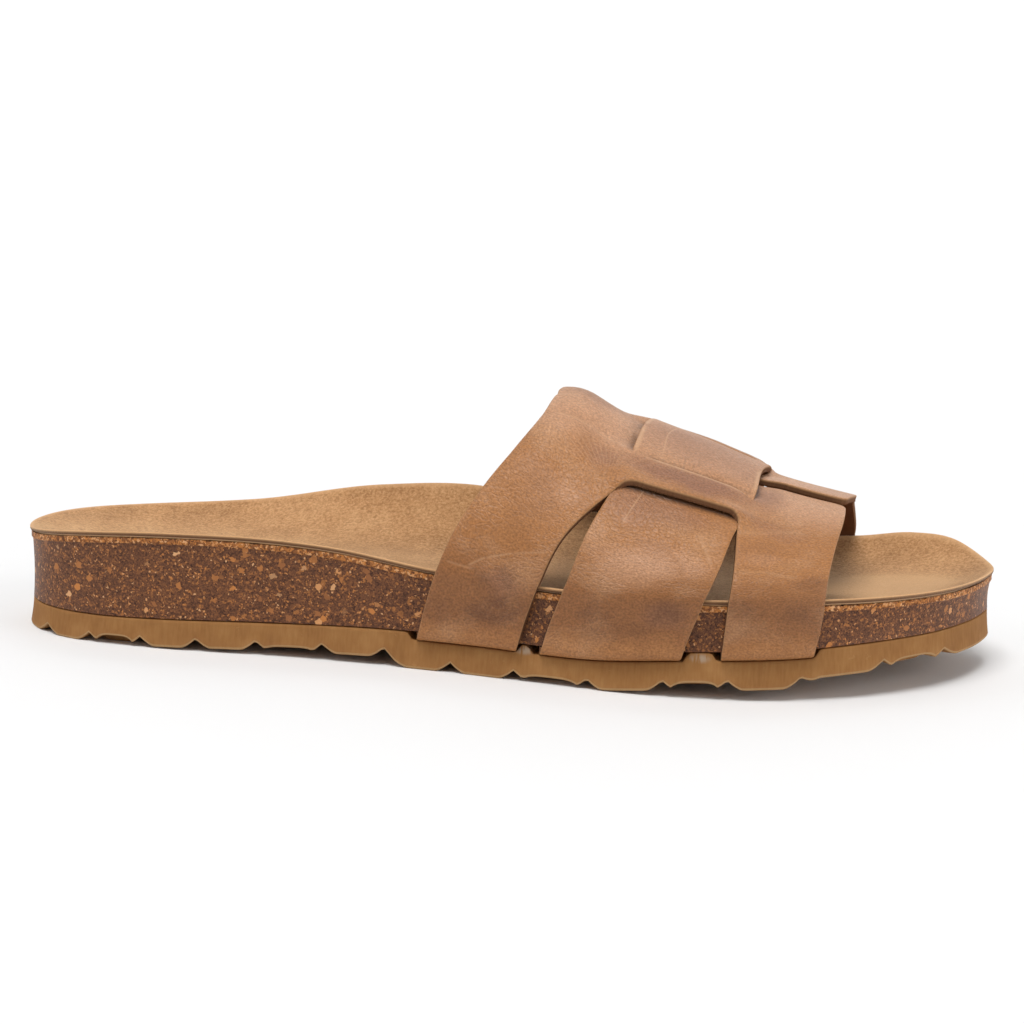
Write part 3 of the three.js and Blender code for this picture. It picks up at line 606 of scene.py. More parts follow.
# Middle band: cut from one piece of oiled leather, with a short patch at its middle.
# Its two ends are turned under the cork and glued into the hollows of the outsole.
PATTERN_WIDTH = 92
INSTEP_HEIGHT = 75
TURN, BEND, RIM_PLACE = 0.93, 0.89, 0.72
SIDE_LEAN, SIDE_FULLNESS, TOP_FULLNESS = 0.15, 0.5, 0.52
CENTRE_SHIFT = 0.085
TOP_FROM, TOP_TO = -0.03, 0.27
SIDE_FROM, SIDE_TO = 0.2, 0.7
SECTIONS = table(
    "at height offset",
    (0.36, 1.12, 0.05), (0.46, 1.055, 0.05), (0.55, 0.957, 0.05), (0.63, 0.835, 0.05),
    (0.7, 0.75, 0.05), (0.77, 0.66, 0.05), (0.85, 0.595, 0.05), (0.92, 0.55, 0.05),
)


def last_point(x, girth):
    """Outer face of the straps at a length and a place round the girth, minus on the outer side."""
    side = np.where(girth < 0, -1.0, 1.0)
    place = np.abs(girth)
    width = half_width(side, x)
    turn = (half_width(side, x + 1) - half_width(side, x - 1)) / 2
    outward = FOLD * np.hypot(1, turn)
    low_y = width - SIDE_INSET + outward
    rim_y = width + outward
    low_z = seam_height(x) - FOLD
    rim_z = rim_height(side, x)
    flange_y = low_y - BEND_RADIUS - FLANGE * (place - TURN) / (1 - TURN)
    angle = np.pi / 2 * np.clip((TURN - place) / (TURN - BEND), 0, 1)
    bend_y = low_y - BEND_RADIUS * (1 - np.sin(angle))
    bend_z = low_z + BEND_RADIUS * (1 - np.cos(angle))
    up = np.clip((BEND - place) / (BEND - RIM_PLACE), 0, 1)
    side_y = low_y + (rim_y - low_y) * up
    side_z = low_z + BEND_RADIUS + (rim_z - low_z - BEND_RADIUS) * up
    ridge_z = INSTEP_HEIGHT * look_up(SECTIONS, "height", x / LENGTH)
    ridge_y = side * BALL_WIDTH * look_up(SECTIONS, "offset", x / LENGTH)
    rise = ridge_z - rim_z
    t = np.clip(1 - place / RIM_PLACE, 0, 1)
    b0, b1, b2, b3 = (1 - t) ** 3, 3 * t * (1 - t) ** 2, 3 * t * t * (1 - t), t ** 3
    arch_y = (b0 * rim_y + b1 * (rim_y - SIDE_LEAN * SIDE_FULLNESS * rise)
              + b2 * (ridge_y + TOP_FULLNESS * (rim_y - ridge_y)) + b3 * ridge_y)
    arch_z = b0 * rim_z + b1 * (rim_z + SIDE_FULLNESS * rise) + (b2 + b3) * ridge_z
    spans = [place >= TURN, place >= BEND, place >= RIM_PLACE]
    y = np.select(spans, [flange_y, bend_y, side_y], arch_y)
    z = np.select(spans, [low_z, bend_z, side_z], arch_z)
    return np.column_stack([x, side * y, z])


def strap_point(pattern, lift):
    """Points at a lift over the last, from pattern places in mm along and round."""
    place = pattern[:, 1] / PATTERN_WIDTH
    x = (pattern[:, 0] + TOP_ADVANCE * smooth_step((place - TOP_FROM) / (TOP_TO - TOP_FROM))
         + SIDE_ADVANCE * smooth_step((place - SIDE_FROM) / (SIDE_TO - SIDE_FROM)))
    shift = CENTRE_SHIFT * np.cos(np.pi / 2 * np.clip(place / RIM_PLACE, -1, 1))
    girth = place - shift
    step = 0.25
    round_step = step / PATTERN_WIDTH
    down = last_point(x + step, girth) - last_point(x - step, girth)
    around = last_point(x, girth + round_step) - last_point(x, girth - round_step)
    normal = np.cross(down, around)
    normal /= np.linalg.norm(normal, axis=1)[:, None]
    return last_point(x, girth) + normal * np.asarray(lift, float)[:, None]


def edge_line(rows, start, end):
    """Pattern edge between two places of the girth, in mm, about a millimetre apart."""
    count = max(round(abs(end - start) * PATTERN_WIDTH), 1)
    girth = np.linspace(start, end, count + 1)
    return np.column_stack([
        LENGTH * look_up(rows, "at", girth, "girth"), girth * PATTERN_WIDTH])


def round_corners(loop, corners, arc_points=7):
    """Closed loop with an arc of each radius in place of the corner at each (x, y)."""
    loop = np.asarray(loop, float)
    for x, y, radius in corners:
        corner = np.array([x, y], float)
        at = np.linalg.norm(loop - corner, axis=1).argmin()
        loop = np.roll(loop, -at, axis=0)
        near = np.linalg.norm(loop - corner, axis=1) <= radius * 1.05
        ahead = near.argmin()
        back = len(loop) - near[::-1].argmin()
        away = [loop[back - 1] - corner, loop[ahead] - corner]
        start, end = (corner + a / np.linalg.norm(a) * radius for a in away)
        t = np.linspace(0, 1, arc_points)[:, None]
        arc = start * (1 - t) ** 2 + 2 * corner * t * (1 - t) + end * t * t
        loop = np.vstack([arc, loop[ahead:back]])
    return loop


def spaced_loop(loop, spacing):
    """The closed loop with points added so that none are further apart than the spacing."""
    points = []
    for start, end in zip(loop, np.roll(loop, -1, axis=0)):
        count = max(math.ceil(np.linalg.norm(end - start) / spacing), 1)
        points.append(start + (end - start) * np.arange(count)[:, None] / count)
    return np.vstack(points)


def inward(loop, distance):
    """The loop moved to its left, which is inside for a loop that runs anticlockwise."""
    along_loop = np.roll(loop, -1, axis=0) - np.roll(loop, 1, axis=0)
    left = np.column_stack([-along_loop[:, 1], along_loop[:, 0]])
    return loop + left / np.linalg.norm(left, axis=1)[:, None] * distance


def inside_grid(loop, spacing, margin):
    """Staggered grid points inside the loop and clear of it by a margin."""
    low, high = loop.min(axis=0), loop.max(axis=0)
    rows = np.arange(low[1], high[1], spacing * 0.87)
    cells = np.arange(low[0], high[0], spacing)
    grid = np.vstack([
        np.column_stack([cells + spacing / 2 * (i % 2), np.full(len(cells), y)])
        for i, y in enumerate(rows)])
    start, end = loop, np.roll(loop, -1, axis=0)
    x, y = grid[:, :1], grid[:, 1:]
    spans = (start[:, 1] > y) != (end[:, 1] > y)
    rise = np.where(end[:, 1] == start[:, 1], 1, end[:, 1] - start[:, 1])
    cross = start[:, 0] + (y - start[:, 1]) * (end[:, 0] - start[:, 0]) / rise
    grid = grid[(spans & (x < cross)).sum(axis=1) % 2 == 1]
    gaps = np.hypot(grid[:, :1] - loop[:, 0], grid[:, 1:] - loop[:, 1]).min(axis=1)
    return grid[gaps > margin]


# Cut edges: the leather's corners are rubbed round, by rows of (inset, lift, share of thickness)
EDGE_SPACING, GRID_SPACING = 1, 1.25
TOP_RIM = ((0, -0.22), (0.22, -0.05), (0.6, 0))
WALL_ROWS = ((0.06, 0.4), (0.09, 0.7))
BOTTOM_RIM = ((0, 0.15), (0.3, 0))


def new_strap(name, loop, lift_at, crease_at, slant_at):
    """Leather strap wrapped over the last: top and bottom sheets with a wall round the cut edge."""
    loop = spaced_loop(loop, EDGE_SPACING)
    if np.sum(loop[:, 0] * np.roll(loop[:, 1], -1) - np.roll(loop[:, 0], -1) * loop[:, 1]) < 0:
        loop = loop[::-1]
    count = len(loop)
    layers = [inward(loop, inset) for inset, _ in TOP_RIM]
    grid = inside_grid(loop, GRID_SPACING, TOP_RIM[-1][0] + GRID_SPACING * 0.55)
    flat = np.vstack([*layers, grid])
    edges = [(i, (i + 1) % count) for i in range(count)]
    result = geometry.delaunay_2d_cdt([Vector(p) for p in flat.tolist()], edges, [], 1, 1e-6)
    sheet, triangles, origins = np.array([list(p) for p in result[0]]), result[2], result[3]
    old = np.array([min(o) if o else -1 for o in origins])
    rim_row = np.where((old >= 0) & (old < count * len(TOP_RIM)), old // count, -1)
    top_lift = np.zeros(len(sheet))
    bottom_lift = np.zeros(len(sheet))
    for row, (_, lift) in enumerate(TOP_RIM):
        top_lift[rim_row == row] = lift
    for row, (_, lift) in enumerate(BOTTOM_RIM):
        bottom_lift[rim_row == row] = lift
    base = lift_at(sheet) + crease_at(sheet)
    slant = slant_at(loop)
    foot = sheet.copy()
    edge_row = rim_row == 0
    foot[edge_row] = inward(loop, -slant[:, None])[old[edge_row]]
    top = strap_point(sheet, base + top_lift)
    bottom = strap_point(foot, base - LEATHER_THICKNESS + bottom_lift)
    size = len(sheet)
    edge_of = {o: i for i, o in enumerate(old.tolist()) if 0 <= o < count}
    ring_names = [[edge_of[i] for i in range(count)]]
    points = [top, bottom]
    total = 2 * size
    places = [sheet, sheet]
    for hollow, share in WALL_ROWS:
        row = inward(loop, (hollow - slant * share)[:, None])
        lift = lift_at(row) + crease_at(row) - LEATHER_THICKNESS * share
        points.append(strap_point(row, lift))
        places.append(loop)
        ring_names.append(list(range(total, total + count)))
        total += count
    ring_names.append([size + i for i in ring_names[0]])
    faces = [tuple(face) for face in triangles]
    area = np.array([np.cross(sheet[b] - sheet[a], sheet[c] - sheet[a]) for a, b, c in faces[:50]])
    if area.sum() < 0:
        faces = [face[::-1] for face in faces]
    faces = faces + [tuple(size + i for i in face[::-1]) for face in faces]
    for upper, lower in zip(ring_names, ring_names[1:]):
        for i in range(count):
            j = (i + 1) % count
            faces.append((upper[j], upper[i], lower[i], lower[j]))
    piece = new_piece(name, np.vstack(points), faces)
    cut = np.repeat([0, 0, 0.75, 0.9], [size, size, count, count])
    cut[:size][rim_row == 0] = 0.5
    cut[size:2 * size][rim_row == 0] = 1
    flesh = np.zeros(total)
    flesh[size:2 * size] = 1
    for label, values in (("cut_edge", cut), ("flesh_side", flesh)):
        attribute = piece.data.attributes.new(label, "FLOAT", "POINT")
        attribute.data.foreach_set("value", values.astype(np.float32))
    uv = np.vstack(places) / 100
    corners = np.zeros(len(piece.data.loops), int)
    piece.data.loops.foreach_get("vertex_index", corners)
    layer = piece.data.uv_layers.new(name="pattern")
    layer.data.foreach_set("uv", uv[corners].ravel().astype(np.float32))
    return piece


MIDDLE_REAR = table(
    "girth at", (0, 0.637), (0.2, 0.63), (0.35, 0.617), (0.5, 0.6), (0.72, 0.58),
    (0.85, 0.565), (1, 0.553))
MIDDLE_FRONT = table(
    "girth at", (0, 0.757), (0.2, 0.752), (0.4, 0.736), (0.55, 0.727), (0.72, 0.714),
    (0.9, 0.696), (1, 0.69))
PATCH_LIFT, PATCH_START, PATCH_END = 1.7, 0.13, 0.21
BULGE, BULGE_START, BULGE_RAMP = 0.6, 0.635, 0.06
BULGE_UPPER, BULGE_LOWER, BULGE_FADE = 0.12, 0.4, 0.08
BAR_END, BAR_RAMP = 0.762, 0.035
FLIP = np.array([1, -1])


def whole_loop(half):
    """Both halves of a pattern from its line on the inner side."""
    half = np.asarray(half)
    return np.vstack([half, (half * FLIP)[::-1]])


def between(value, start, end, ramp, end_ramp=None):
    """1 from start to end and 0 outside, with a soft ramp inside each end."""
    return smooth_step((value - start) / ramp) * smooth_step((end - value) / (end_ramp or ramp))


def inner_bulge(pattern):
    """The inner bar stands a little higher, and the middle band under it."""
    at, place = pattern[:, 0] / LENGTH, pattern[:, 1] / PATTERN_WIDTH
    return (BULGE * between(at, BULGE_START, BAR_END, BULGE_RAMP, BAR_RAMP)
            * between(place, BULGE_UPPER, BULGE_LOWER, BULGE_FADE))


def middle_lift(pattern):
    place = np.abs(pattern[:, 1]) / PATTERN_WIDTH
    patch = PATCH_LIFT * smooth_step((PATCH_END - place) / (PATCH_END - PATCH_START))
    return patch + inner_bulge(pattern)


def troughs(rows):
    """Soft creases along short lines of the pattern, as a function of pattern places."""
    def height(pattern):
        total = np.zeros(len(pattern))
        for x0, y0, x1, y1, width, depth in rows:
            start, run = np.array([x0, y0]), np.array([x1 - x0, y1 - y0])
            t = np.clip((pattern - start) @ run / (run @ run), 0, 1)
            away = np.linalg.norm(pattern - start - t[:, None] * run, axis=1) / width
            total -= depth * np.exp(-away ** 2) * (0.35 + 0.65 * np.sin(np.pi * t))
        return total
    return height


OFF_MIDDLE = 0.004
MIDDLE_CREASES = ((186, -36, 191, -50, 2.5, 0.25), (163, -60, 178, -64, 4, 0.25))
middle_loop = whole_loop(np.vstack([
    edge_line(MIDDLE_REAR, OFF_MIDDLE, 1), edge_line(MIDDLE_FRONT, 1, OFF_MIDDLE)]))
middle_band = new_strap(
    "middle_band", middle_loop, middle_lift, troughs(MIDDLE_CREASES),
    lambda loop: np.zeros(len(loop)))

# A fine line, such as a crease, a score, a painted shadow or a painted highlight, from a start
# along a turned direction
line_group, given, mask = new_group(
    "Fine line", Vector=(0, 0, 0), Start=(0, 0, 0), Turn=0, Length=0.1, Width=0.002, Strength=1)
away = vector(line_group, "SUBTRACT", given["Vector"], given["Start"]).outputs[0]
away = node(line_group, "ShaderNodeVectorRotate", {
    "Vector": away, "Angle": given["Turn"]}, rotation_type="Z_AXIS", invert=True).outputs[0]
away = node(line_group, "ShaderNodeSeparateXYZ", {0: away}).outputs
across = calculate(line_group, "ABSOLUTE", away[1])
across = rescaled(line_group, across, given["Width"], 0.0)
run = calculate(line_group, "DIVIDE", away[0], given["Length"])
run = calculate(line_group, "ABSOLUTE", calculate(line_group, "SUBTRACT", run, 0.5))
run = rescaled(line_group, run, 0.5, 0.35)
line = times(line_group, across, run)
line_group.links.new(times(line_group, line, given["Strength"]), mask)

# The top tone is a painted sheen, the low and dark tones are partly smudging and partly painted
# shade, and the gap colour is a painted shadow
LEATHER_TOP_SHEEN = (0.47, 0.25, 0.138)
LEATHER_WARM = (0.345, 0.146, 0.048)
LEATHER_MAUVE = (0.26, 0.118, 0.063)
LEATHER_LOW_SMUDGE_AND_SHADE = (0.237, 0.094, 0.031)
LEATHER_BROWN = (0.2, 0.08, 0.027)
LEATHER_DARK_SMUDGE_AND_SHADE = (0.12, 0.045, 0.018)
LEATHER_PALE = (0.55, 0.32, 0.175)
CUT_COLOR = (0.4, 0.21, 0.09)
CUT_BROWN = (0.11, 0.045, 0.018)
FLESH_COLOR = (0.15, 0.06, 0.022)
PAINTED_SHADOW_COLOR = (0.035, 0.014, 0.007)


def strongest(tree, masks):
    """Largest of several masks."""
    most = masks[0]
    for mask in masks[1:]:
        most = calculate(tree, "MAXIMUM", most, mask)
    return most


def soft_mark_mask(tree, place, rows):
    """Soft marks from rows of (x, y, reach x, reach y, strength) in mm of the pattern."""
    return strongest(tree, [masked(
        tree, mark_group, vector=place, centre=(x / 100, y / 100, 0),
        reach=(rx / 100, ry / 100, 1), strength=k) for x, y, rx, ry, k in rows])


def line_mask(tree, place, rows):
    """Fine lines from rows of (from x, from y, to x, to y, width, strength) in mm."""
    return strongest(tree, [masked(
        tree, line_group, vector=place, start=(x0 / 100, y0 / 100, 0),
        turn=math.atan2(y1 - y0, x1 - x0), length=math.hypot(x1 - x0, y1 - y0) / 100,
        width=width / 100, strength=k) for x0, y0, x1, y1, width, k in rows])


FAN_BEND, FAN_WRINKLES, FAN_REACH = (0.2, 0.2, 0.2), 110.0, (0.15, 0.11, 1)


def fan_mask(tree, place, ragged, bent, fan):
    """Fine wrinkles that fan out from a place of the pattern, and fade away from it."""
    rays = node(tree, "ShaderNodeVectorMath", {0: bent, 1: FAN_BEND, 2: place},
                operation="MULTIPLY_ADD").outputs[0]
    rays = node(tree, "ShaderNodeMapping", {
        "Vector": rays, "Location": (-fan[0] / 100, -fan[1] / 100, 0)}).outputs[0]
    rays = node(tree, "ShaderNodeTexGradient", {"Vector": rays}, gradient_type="RADIAL").outputs[1]
    rays = calculate(tree, "PINGPONG", times(tree, rays, FAN_WRINKLES), 1.0)
    reach = masked(tree, mark_group, vector=ragged, centre=(
        (fan[0] - 3) / 100, math.copysign(abs(fan[1]) - 9, fan[1]) / 100, 0),
        reach=FAN_REACH, strength=0.6)
    return times(tree, rescaled(tree, rays, 0.5, 1.0), reach)


def leather_material(name, smudges_and_shade, tints, painted_highlights, lines, shadow_lines, fan):
    """Oiled leather, with its marks as rows, and the (x, y) that fine wrinkles fan out from."""
    material, tree, shader = new_material(name, LEATHER_WARM, 0.45, 0.33)
    place = node(tree, "ShaderNodeUVMap", uv_map="pattern").outputs[0]
    cloud = noise(tree, place, 6, 4)
    mottle = noise(tree, place, 60, 5, 0.65)["Fac"]
    smear = noise(tree, place, 22, 4, 0.6)["Fac"]
    pores = noise(tree, place, 170, 3)["Fac"]
    bent = vector(tree, "ADD", cloud["Color"], (-0.5, -0.5, -0.5)).outputs[0]
    bent = scaled(tree, bent, 0.13)
    ragged = vector(tree, "ADD", place, bent).outputs[0]

    # Colour from the top of the strap to its ends: a painted sheen along the top and a darker band
    # low down, partly smudging and partly painted shade, with paler and darker clouds
    down = node(tree, "ShaderNodeSeparateXYZ", {0: ragged}).outputs[1]
    down = calculate(tree, "ABSOLUTE", down)
    tone = ramp(tree, down, (0.0, LEATHER_TOP_SHEEN), (0.1, LEATHER_TOP_SHEEN), (0.27, LEATHER_WARM),
                (0.5, LEATHER_WARM), (0.66, LEATHER_LOW_SMUDGE_AND_SHADE), (0.76, LEATHER_LOW_SMUDGE_AND_SHADE),
                (0.82, LEATHER_WARM))
    tone = mix(tree, rescaled(tree, cloud["Fac"], 0.5, 0.7, 0.0, 0.22), tone, LEATHER_PALE)
    tone = mix(tree, rescaled(tree, cloud["Fac"], 0.48, 0.3, 0.0, 0.3), tone, LEATHER_BROWN)
    # Pale patches of painted highlight
    tone = mix(tree, soft_mark_mask(tree, ragged, painted_highlights), tone, LEATHER_TOP_SHEEN)
    tone = mix(tree, soft_mark_mask(tree, ragged, tints), tone, LEATHER_MAUVE)
    # Dark smudges low on the straps, partly real smudging and partly painted shade
    smudge_and_shade = calculate(tree, "MULTIPLY", soft_mark_mask(tree, ragged, smudges_and_shade),
                     rescaled(tree, smear, 0.35, 0.65, 0.45, 1.25), clamp=True)
    tone = mix(tree, smudge_and_shade, tone, LEATHER_DARK_SMUDGE_AND_SHADE)
    grain = times(tree, rescaled(tree, mottle, 0.35, 0.65, 0.92, 1.08),
                  rescaled(tree, pores, 0.35, 0.65, 0.78, 1.22))
    tone = scaled(tree, tone, grain)

    # Painted shadow lines in the gaps, pale creases and scores with painted highlights along cut
    # edges, and a web of very fine cracks
    tone = mix(tree, line_mask(tree, place, shadow_lines), tone, PAINTED_SHADOW_COLOR)
    combed = node(tree, "ShaderNodeMapping", {
        "Vector": ragged, "Rotation": (0, 0, 0.5), "Scale": (0.6, 1, 1)}).outputs[0]
    cells = node(tree, "ShaderNodeTexVoronoi", {"Vector": combed, "Scale": 78},
                 feature="DISTANCE_TO_EDGE").outputs["Distance"]
    web = times(tree, rescaled(tree, cells, 0.16, 0.0),
                rescaled(tree, cloud["Fac"], 0.42, 0.6, 0.25, 1.0))
    rays = fan_mask(tree, place, ragged, bent, fan)
    # Pale cracks, crease lines and fan wrinkles, with painted highlights along the cut edges
    pale = strongest(tree, [
        times(tree, web, 0.07), line_mask(tree, place, lines), times(tree, rays, 0.45)])
    tone = mix(tree, pale, tone, LEATHER_PALE)

    # The flesh side is darker and rougher, and the cut edge is fibrous, with painted shade
    # darkening it toward its foot
    flesh, cut = painted(tree, "flesh_side"), painted(tree, "cut_edge")
    tone = mix(tree, flesh, tone, FLESH_COLOR)
    wall = ramp(tree, cut, (0.5, CUT_COLOR), (0.75, CUT_BROWN), (1.0, LEATHER_DARK_SMUDGE_AND_SHADE))
    wall = mix(tree, 0.25, wall, mix(tree, pores, CUT_BROWN, CUT_COLOR))
    tone = mix(tree, times(tree, cut, 2.0), tone, wall)
    tree.links.new(tone, shader.inputs["Base Color"])
    raw = times(tree, calculate(tree, "MAXIMUM", cut, flesh), 0.5)
    rough = calculate(
        tree, "ADD", rescaled(tree, mottle, 0.35, 0.65, 0.5, 0.4), raw, clamp=True)
    tree.links.new(rough, shader.inputs["Roughness"])
    lay_bumps(tree, shader, (mottle, 0.2, 0.0004, False), (pores, 0.3, 0.0002, False),
              (strongest(tree, [web, pale]), 0.36, 0.0004, True))
    return material


# Smudges on the middle band, partly real smudging and partly painted shade
BAND_SMUDGES_AND_SHADE = (
    (178, -70, 9, 7, 0.65), (161, -71, 7, 5, 0.45), (169, -75, 12, 5, 0.25),
    (170, 71, 14, 7, 0.6), (186, 66, 8, 7, 0.4))
BAND_TINTS = (
    (175, -34, 22, 9, 0.6), (178, -71, 9, 6, 0.5), (176, 36, 18, 9, 0.6), (184, 0, 30, 20, 0.55))
# Painted highlights on the middle band
BAND_HIGHLIGHTS = (
    (171, -55, 15, 10, 0.8), (184, -52, 8, 8, 0.5), (160, -46, 6, 8, 0.4), (172, 56, 14, 10, 0.4))
# Pale crease lines, with painted highlights along the patch's rear and front edges
BAND_PALE_CREASES_AND_HIGHLIGHTS = (
    (175, 13, 174.5, -15, 0.35, 0.6), (171.5, -27, 166.5, -42, 0.3, 0.45),
    (168.7, 0, 167.6, -15.5, 0.9, 0.8), (168.7, 0, 167.6, 15.5, 0.9, 0.8),
    (199.3, 1, 198.4, -15.5, 0.8, 0.7), (186, -38, 190, -52, 0.9, 0.25))
# Painted shadow lines along the patch's edges and under the bars
BAND_SHADOW_LINES = (
    (168, -15, 200, -15, 0.9, 0.3), (168, 15, 200, 15, 0.9, 0.3),
    (157, -27.8, 205, -27.8, 1.9, 1), (167, 27.8, 205, 27.8, 1.9, 1))
middle_band.data.materials.append(leather_material(
    "Oiled leather, middle band", BAND_SMUDGES_AND_SHADE, BAND_TINTS, BAND_HIGHLIGHTS, BAND_PALE_CREASES_AND_HIGHLIGHTS,
    BAND_SHADOW_LINES, (170, -30)))
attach(middle_band, "root")
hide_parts("upper")

# Vamp: cut from one piece of the same leather, with a window over the patch and a slit before it.
# Two bars join its rear band to its front halves, and run over the middle band.
BAR_UPPER, BAR_LOWER, BAR_LIFT = 0.168, 0.294, 1.6
BAR_START, BAR_FADE = 0.598, 0.08
WINDOW_REAR, WINDOW_FRONT = 0.6405 * LENGTH, 0.7535 * LENGTH
DIP, DIP_REACH, DIP_FROM, DIP_TO = 1.1, 8, 0.1, 0.19
CURL, CURL_REACH, CURL_RAMP = 0.8, 4, 6
SLIT_STEP, SLIT_REACH, SLIT_RAMP = 0.6, 12, 4
ROLL, ROLL_RISE, ROLL_REACH, ROLL_SIDE, ROLL_FADE = 2.8, 1.7, 9, 45, 20
BAR_SLANT, SLANT_REACH, SLANT_RAMP = 0.5, 2.5, 8
SLIT_HALF = 0.013
REAR_EDGE = table(
    "girth at", (0, 0.552), (0.15, 0.542), (0.3, 0.521), (0.45, 0.495), (0.6, 0.469),
    (0.72, 0.454), (0.85, 0.441), (1, 0.43))
REAR_BAND_FRONT = table(
    "girth at", (0.27, 0.637), (0.34, 0.62), (0.42, 0.602), (0.55, 0.576), (0.72, 0.555),
    (0.85, 0.541), (1, 0.53))
LEG_REAR = table("girth at", (0.27, 0.74), (0.6, 0.739), (0.8, 0.735), (1, 0.73))
FRONT_EDGE = table(
    "girth at", (0, 0.845), (0.15, 0.842), (0.35, 0.834), (0.55, 0.828), (0.8, 0.824),
    (1, 0.814))


def curl_lift(pattern):
    """The lower edge of each bar stands off the middle band."""
    x, y = pattern[:, 0], np.abs(pattern[:, 1])
    along_bar = between(x, BAR_START * LENGTH, BAR_END * LENGTH, CURL_RAMP)
    to_edge = np.abs(BAR_LOWER * PATTERN_WIDTH - y)
    return CURL * along_bar * smooth_step(1 - to_edge / CURL_REACH)


def slit_lift(pattern):
    """Before the window the inner half stands a little above the outer one."""
    x, y = pattern[:, 0], pattern[:, 1]
    ahead = smooth_step((x - WINDOW_FRONT) / SLIT_RAMP + 0.5)
    return SLIT_STEP * ahead * np.sign(y) * smooth_step(1 - np.abs(y) / SLIT_REACH)


def rolled_rear(pattern):
    """The rear edge turns down toward the instep."""
    x, y = pattern[:, 0], np.abs(pattern[:, 1])
    from_edge = x - LENGTH * look_up(REAR_EDGE, "at", y / PATTERN_WIDTH, "girth")
    rise = ROLL_RISE * smooth_step(1 - from_edge / (2 * ROLL_REACH))
    fall = ROLL * np.clip(1 - from_edge / ROLL_REACH, 0, 1) ** 2
    return smooth_step((ROLL_SIDE - y) / ROLL_FADE) * (rise - fall)


def vamp_lift(pattern):
    x, y = pattern.T
    at, place = x / LENGTH, np.abs(y) / PATTERN_WIDTH
    bars = (BAR_LIFT * between(at, BAR_START, BAR_END, BAR_RAMP)
            * between(place, BAR_UPPER - BAR_FADE, BAR_LOWER + BAR_FADE, BAR_FADE))
    to_window = np.maximum(WINDOW_REAR - x, x - WINDOW_FRONT)
    dips = smooth_step(1 - to_window / DIP_REACH) * smooth_step(
        (DIP_TO - place) / (DIP_TO - DIP_FROM))
    return (bars + inner_bulge(pattern) + curl_lift(pattern) + slit_lift(pattern)
            + rolled_rear(pattern) - DIP * dips)


def bar_slant(loop):
    """Outward run of the cut below each bar, which faces down and forward."""
    under = np.abs(np.abs(loop[:, 1]) - BAR_LOWER * PATTERN_WIDTH) < SLANT_REACH
    along_bar = between(loop[:, 0], BAR_START * LENGTH, BAR_END * LENGTH, SLANT_RAMP)
    return BAR_SLANT * under * along_bar


window_y = BAR_UPPER * PATTERN_WIDTH
window_middle_y = 0.4
rear_band_front = edge_line(REAR_BAND_FRONT, 1, BAR_LOWER)
leg_rear = edge_line(LEG_REAR, BAR_LOWER, 1)
front_edge = edge_line(FRONT_EDGE, 1, SLIT_HALF)
vamp_half = np.vstack([
    edge_line(REAR_EDGE, OFF_MIDDLE, 1), rear_band_front, leg_rear, front_edge,
    [[WINDOW_FRONT, SLIT_HALF * PATTERN_WIDTH], [WINDOW_FRONT, window_y],
     [WINDOW_REAR, window_y], [WINDOW_REAR, window_middle_y]]])
NOTCH_RADIUS, WINDOW_RADIUS, FRONT_RADIUS = 3.5, 1.5, 3
vamp_corners = [
    (*rear_band_front[-1], NOTCH_RADIUS), (*leg_rear[0], NOTCH_RADIUS),
    (*front_edge[-1], FRONT_RADIUS), (WINDOW_FRONT, window_y, WINDOW_RADIUS),
    (WINDOW_REAR, window_y, WINDOW_RADIUS)]
vamp_corners += [(x, -y, radius) for x, y, radius in vamp_corners]
vamp_loop = spaced_loop(whole_loop(vamp_half), EDGE_SPACING)
vamp_loop = round_corners(vamp_loop, vamp_corners)
VAMP_CREASES = (
    (124, -64, 134, -60, 1.6, 0.25), (132, -60.5, 148, -55.8, 1.6, 0.25),
    (130, -67, 146, -63, 2.5, 0.2), (144, -12, 158, -10, 2.2, 0.35), (156, -10, 168, -14, 2, 0.3),
    (193, -35.5, 213, -27.5, 2, 0.25), (194, -53, 211, -52, 2, 0.25), (150, -30, 156, -40, 3, 0.2),
    (124, 62, 140, 58, 2, 0.25), (196, 40, 214, 36, 2, 0.25), (144, 14, 160, 12, 3, 0.3))
vamp = new_strap("vamp", vamp_loop, vamp_lift, troughs(VAMP_CREASES), bar_slant)
# Smudges on the vamp, partly real smudging and partly painted shade
VAMP_SMUDGES_AND_SHADE = (
    (136, -72, 13, 6, 0.7), (140, -64, 6, 5, 0.4), (133, -66, 6, 5, 0.3), (121, -74, 7, 6, 0.3),
    (214, -56, 6, 5, 0.45), (199, -70, 6, 5, 0.4), (211, -70, 7, 5, 0.4), (152, 8, 12, 9, 0.25),
    (128, 70, 16, 7, 0.6), (141, 64, 8, 6, 0.4), (206, 66, 12, 7, 0.5))
VAMP_TINTS = (
    (182, -20, 26, 7, 1), (198, -12, 12, 14, 0.7), (154, 6, 10, 8, 0.4), (160, -22, 9, 7, 0.6),
    (138, -65, 8, 6, 0.6), (180, 20, 26, 9, 0.7), (204, -28, 14, 5, 0.4))
# Painted highlights on the vamp
VAMP_HIGHLIGHTS = (
    (145.5, -15.5, 9, 5, 0.5), (212, -14, 14, 12, 0.5), (152, -36, 5, 8, 0.35),
    (195, -26, 8, 4, 0.5), (134, -30, 10, 8, 0.2), (202, -44, 8, 5, 0.25))
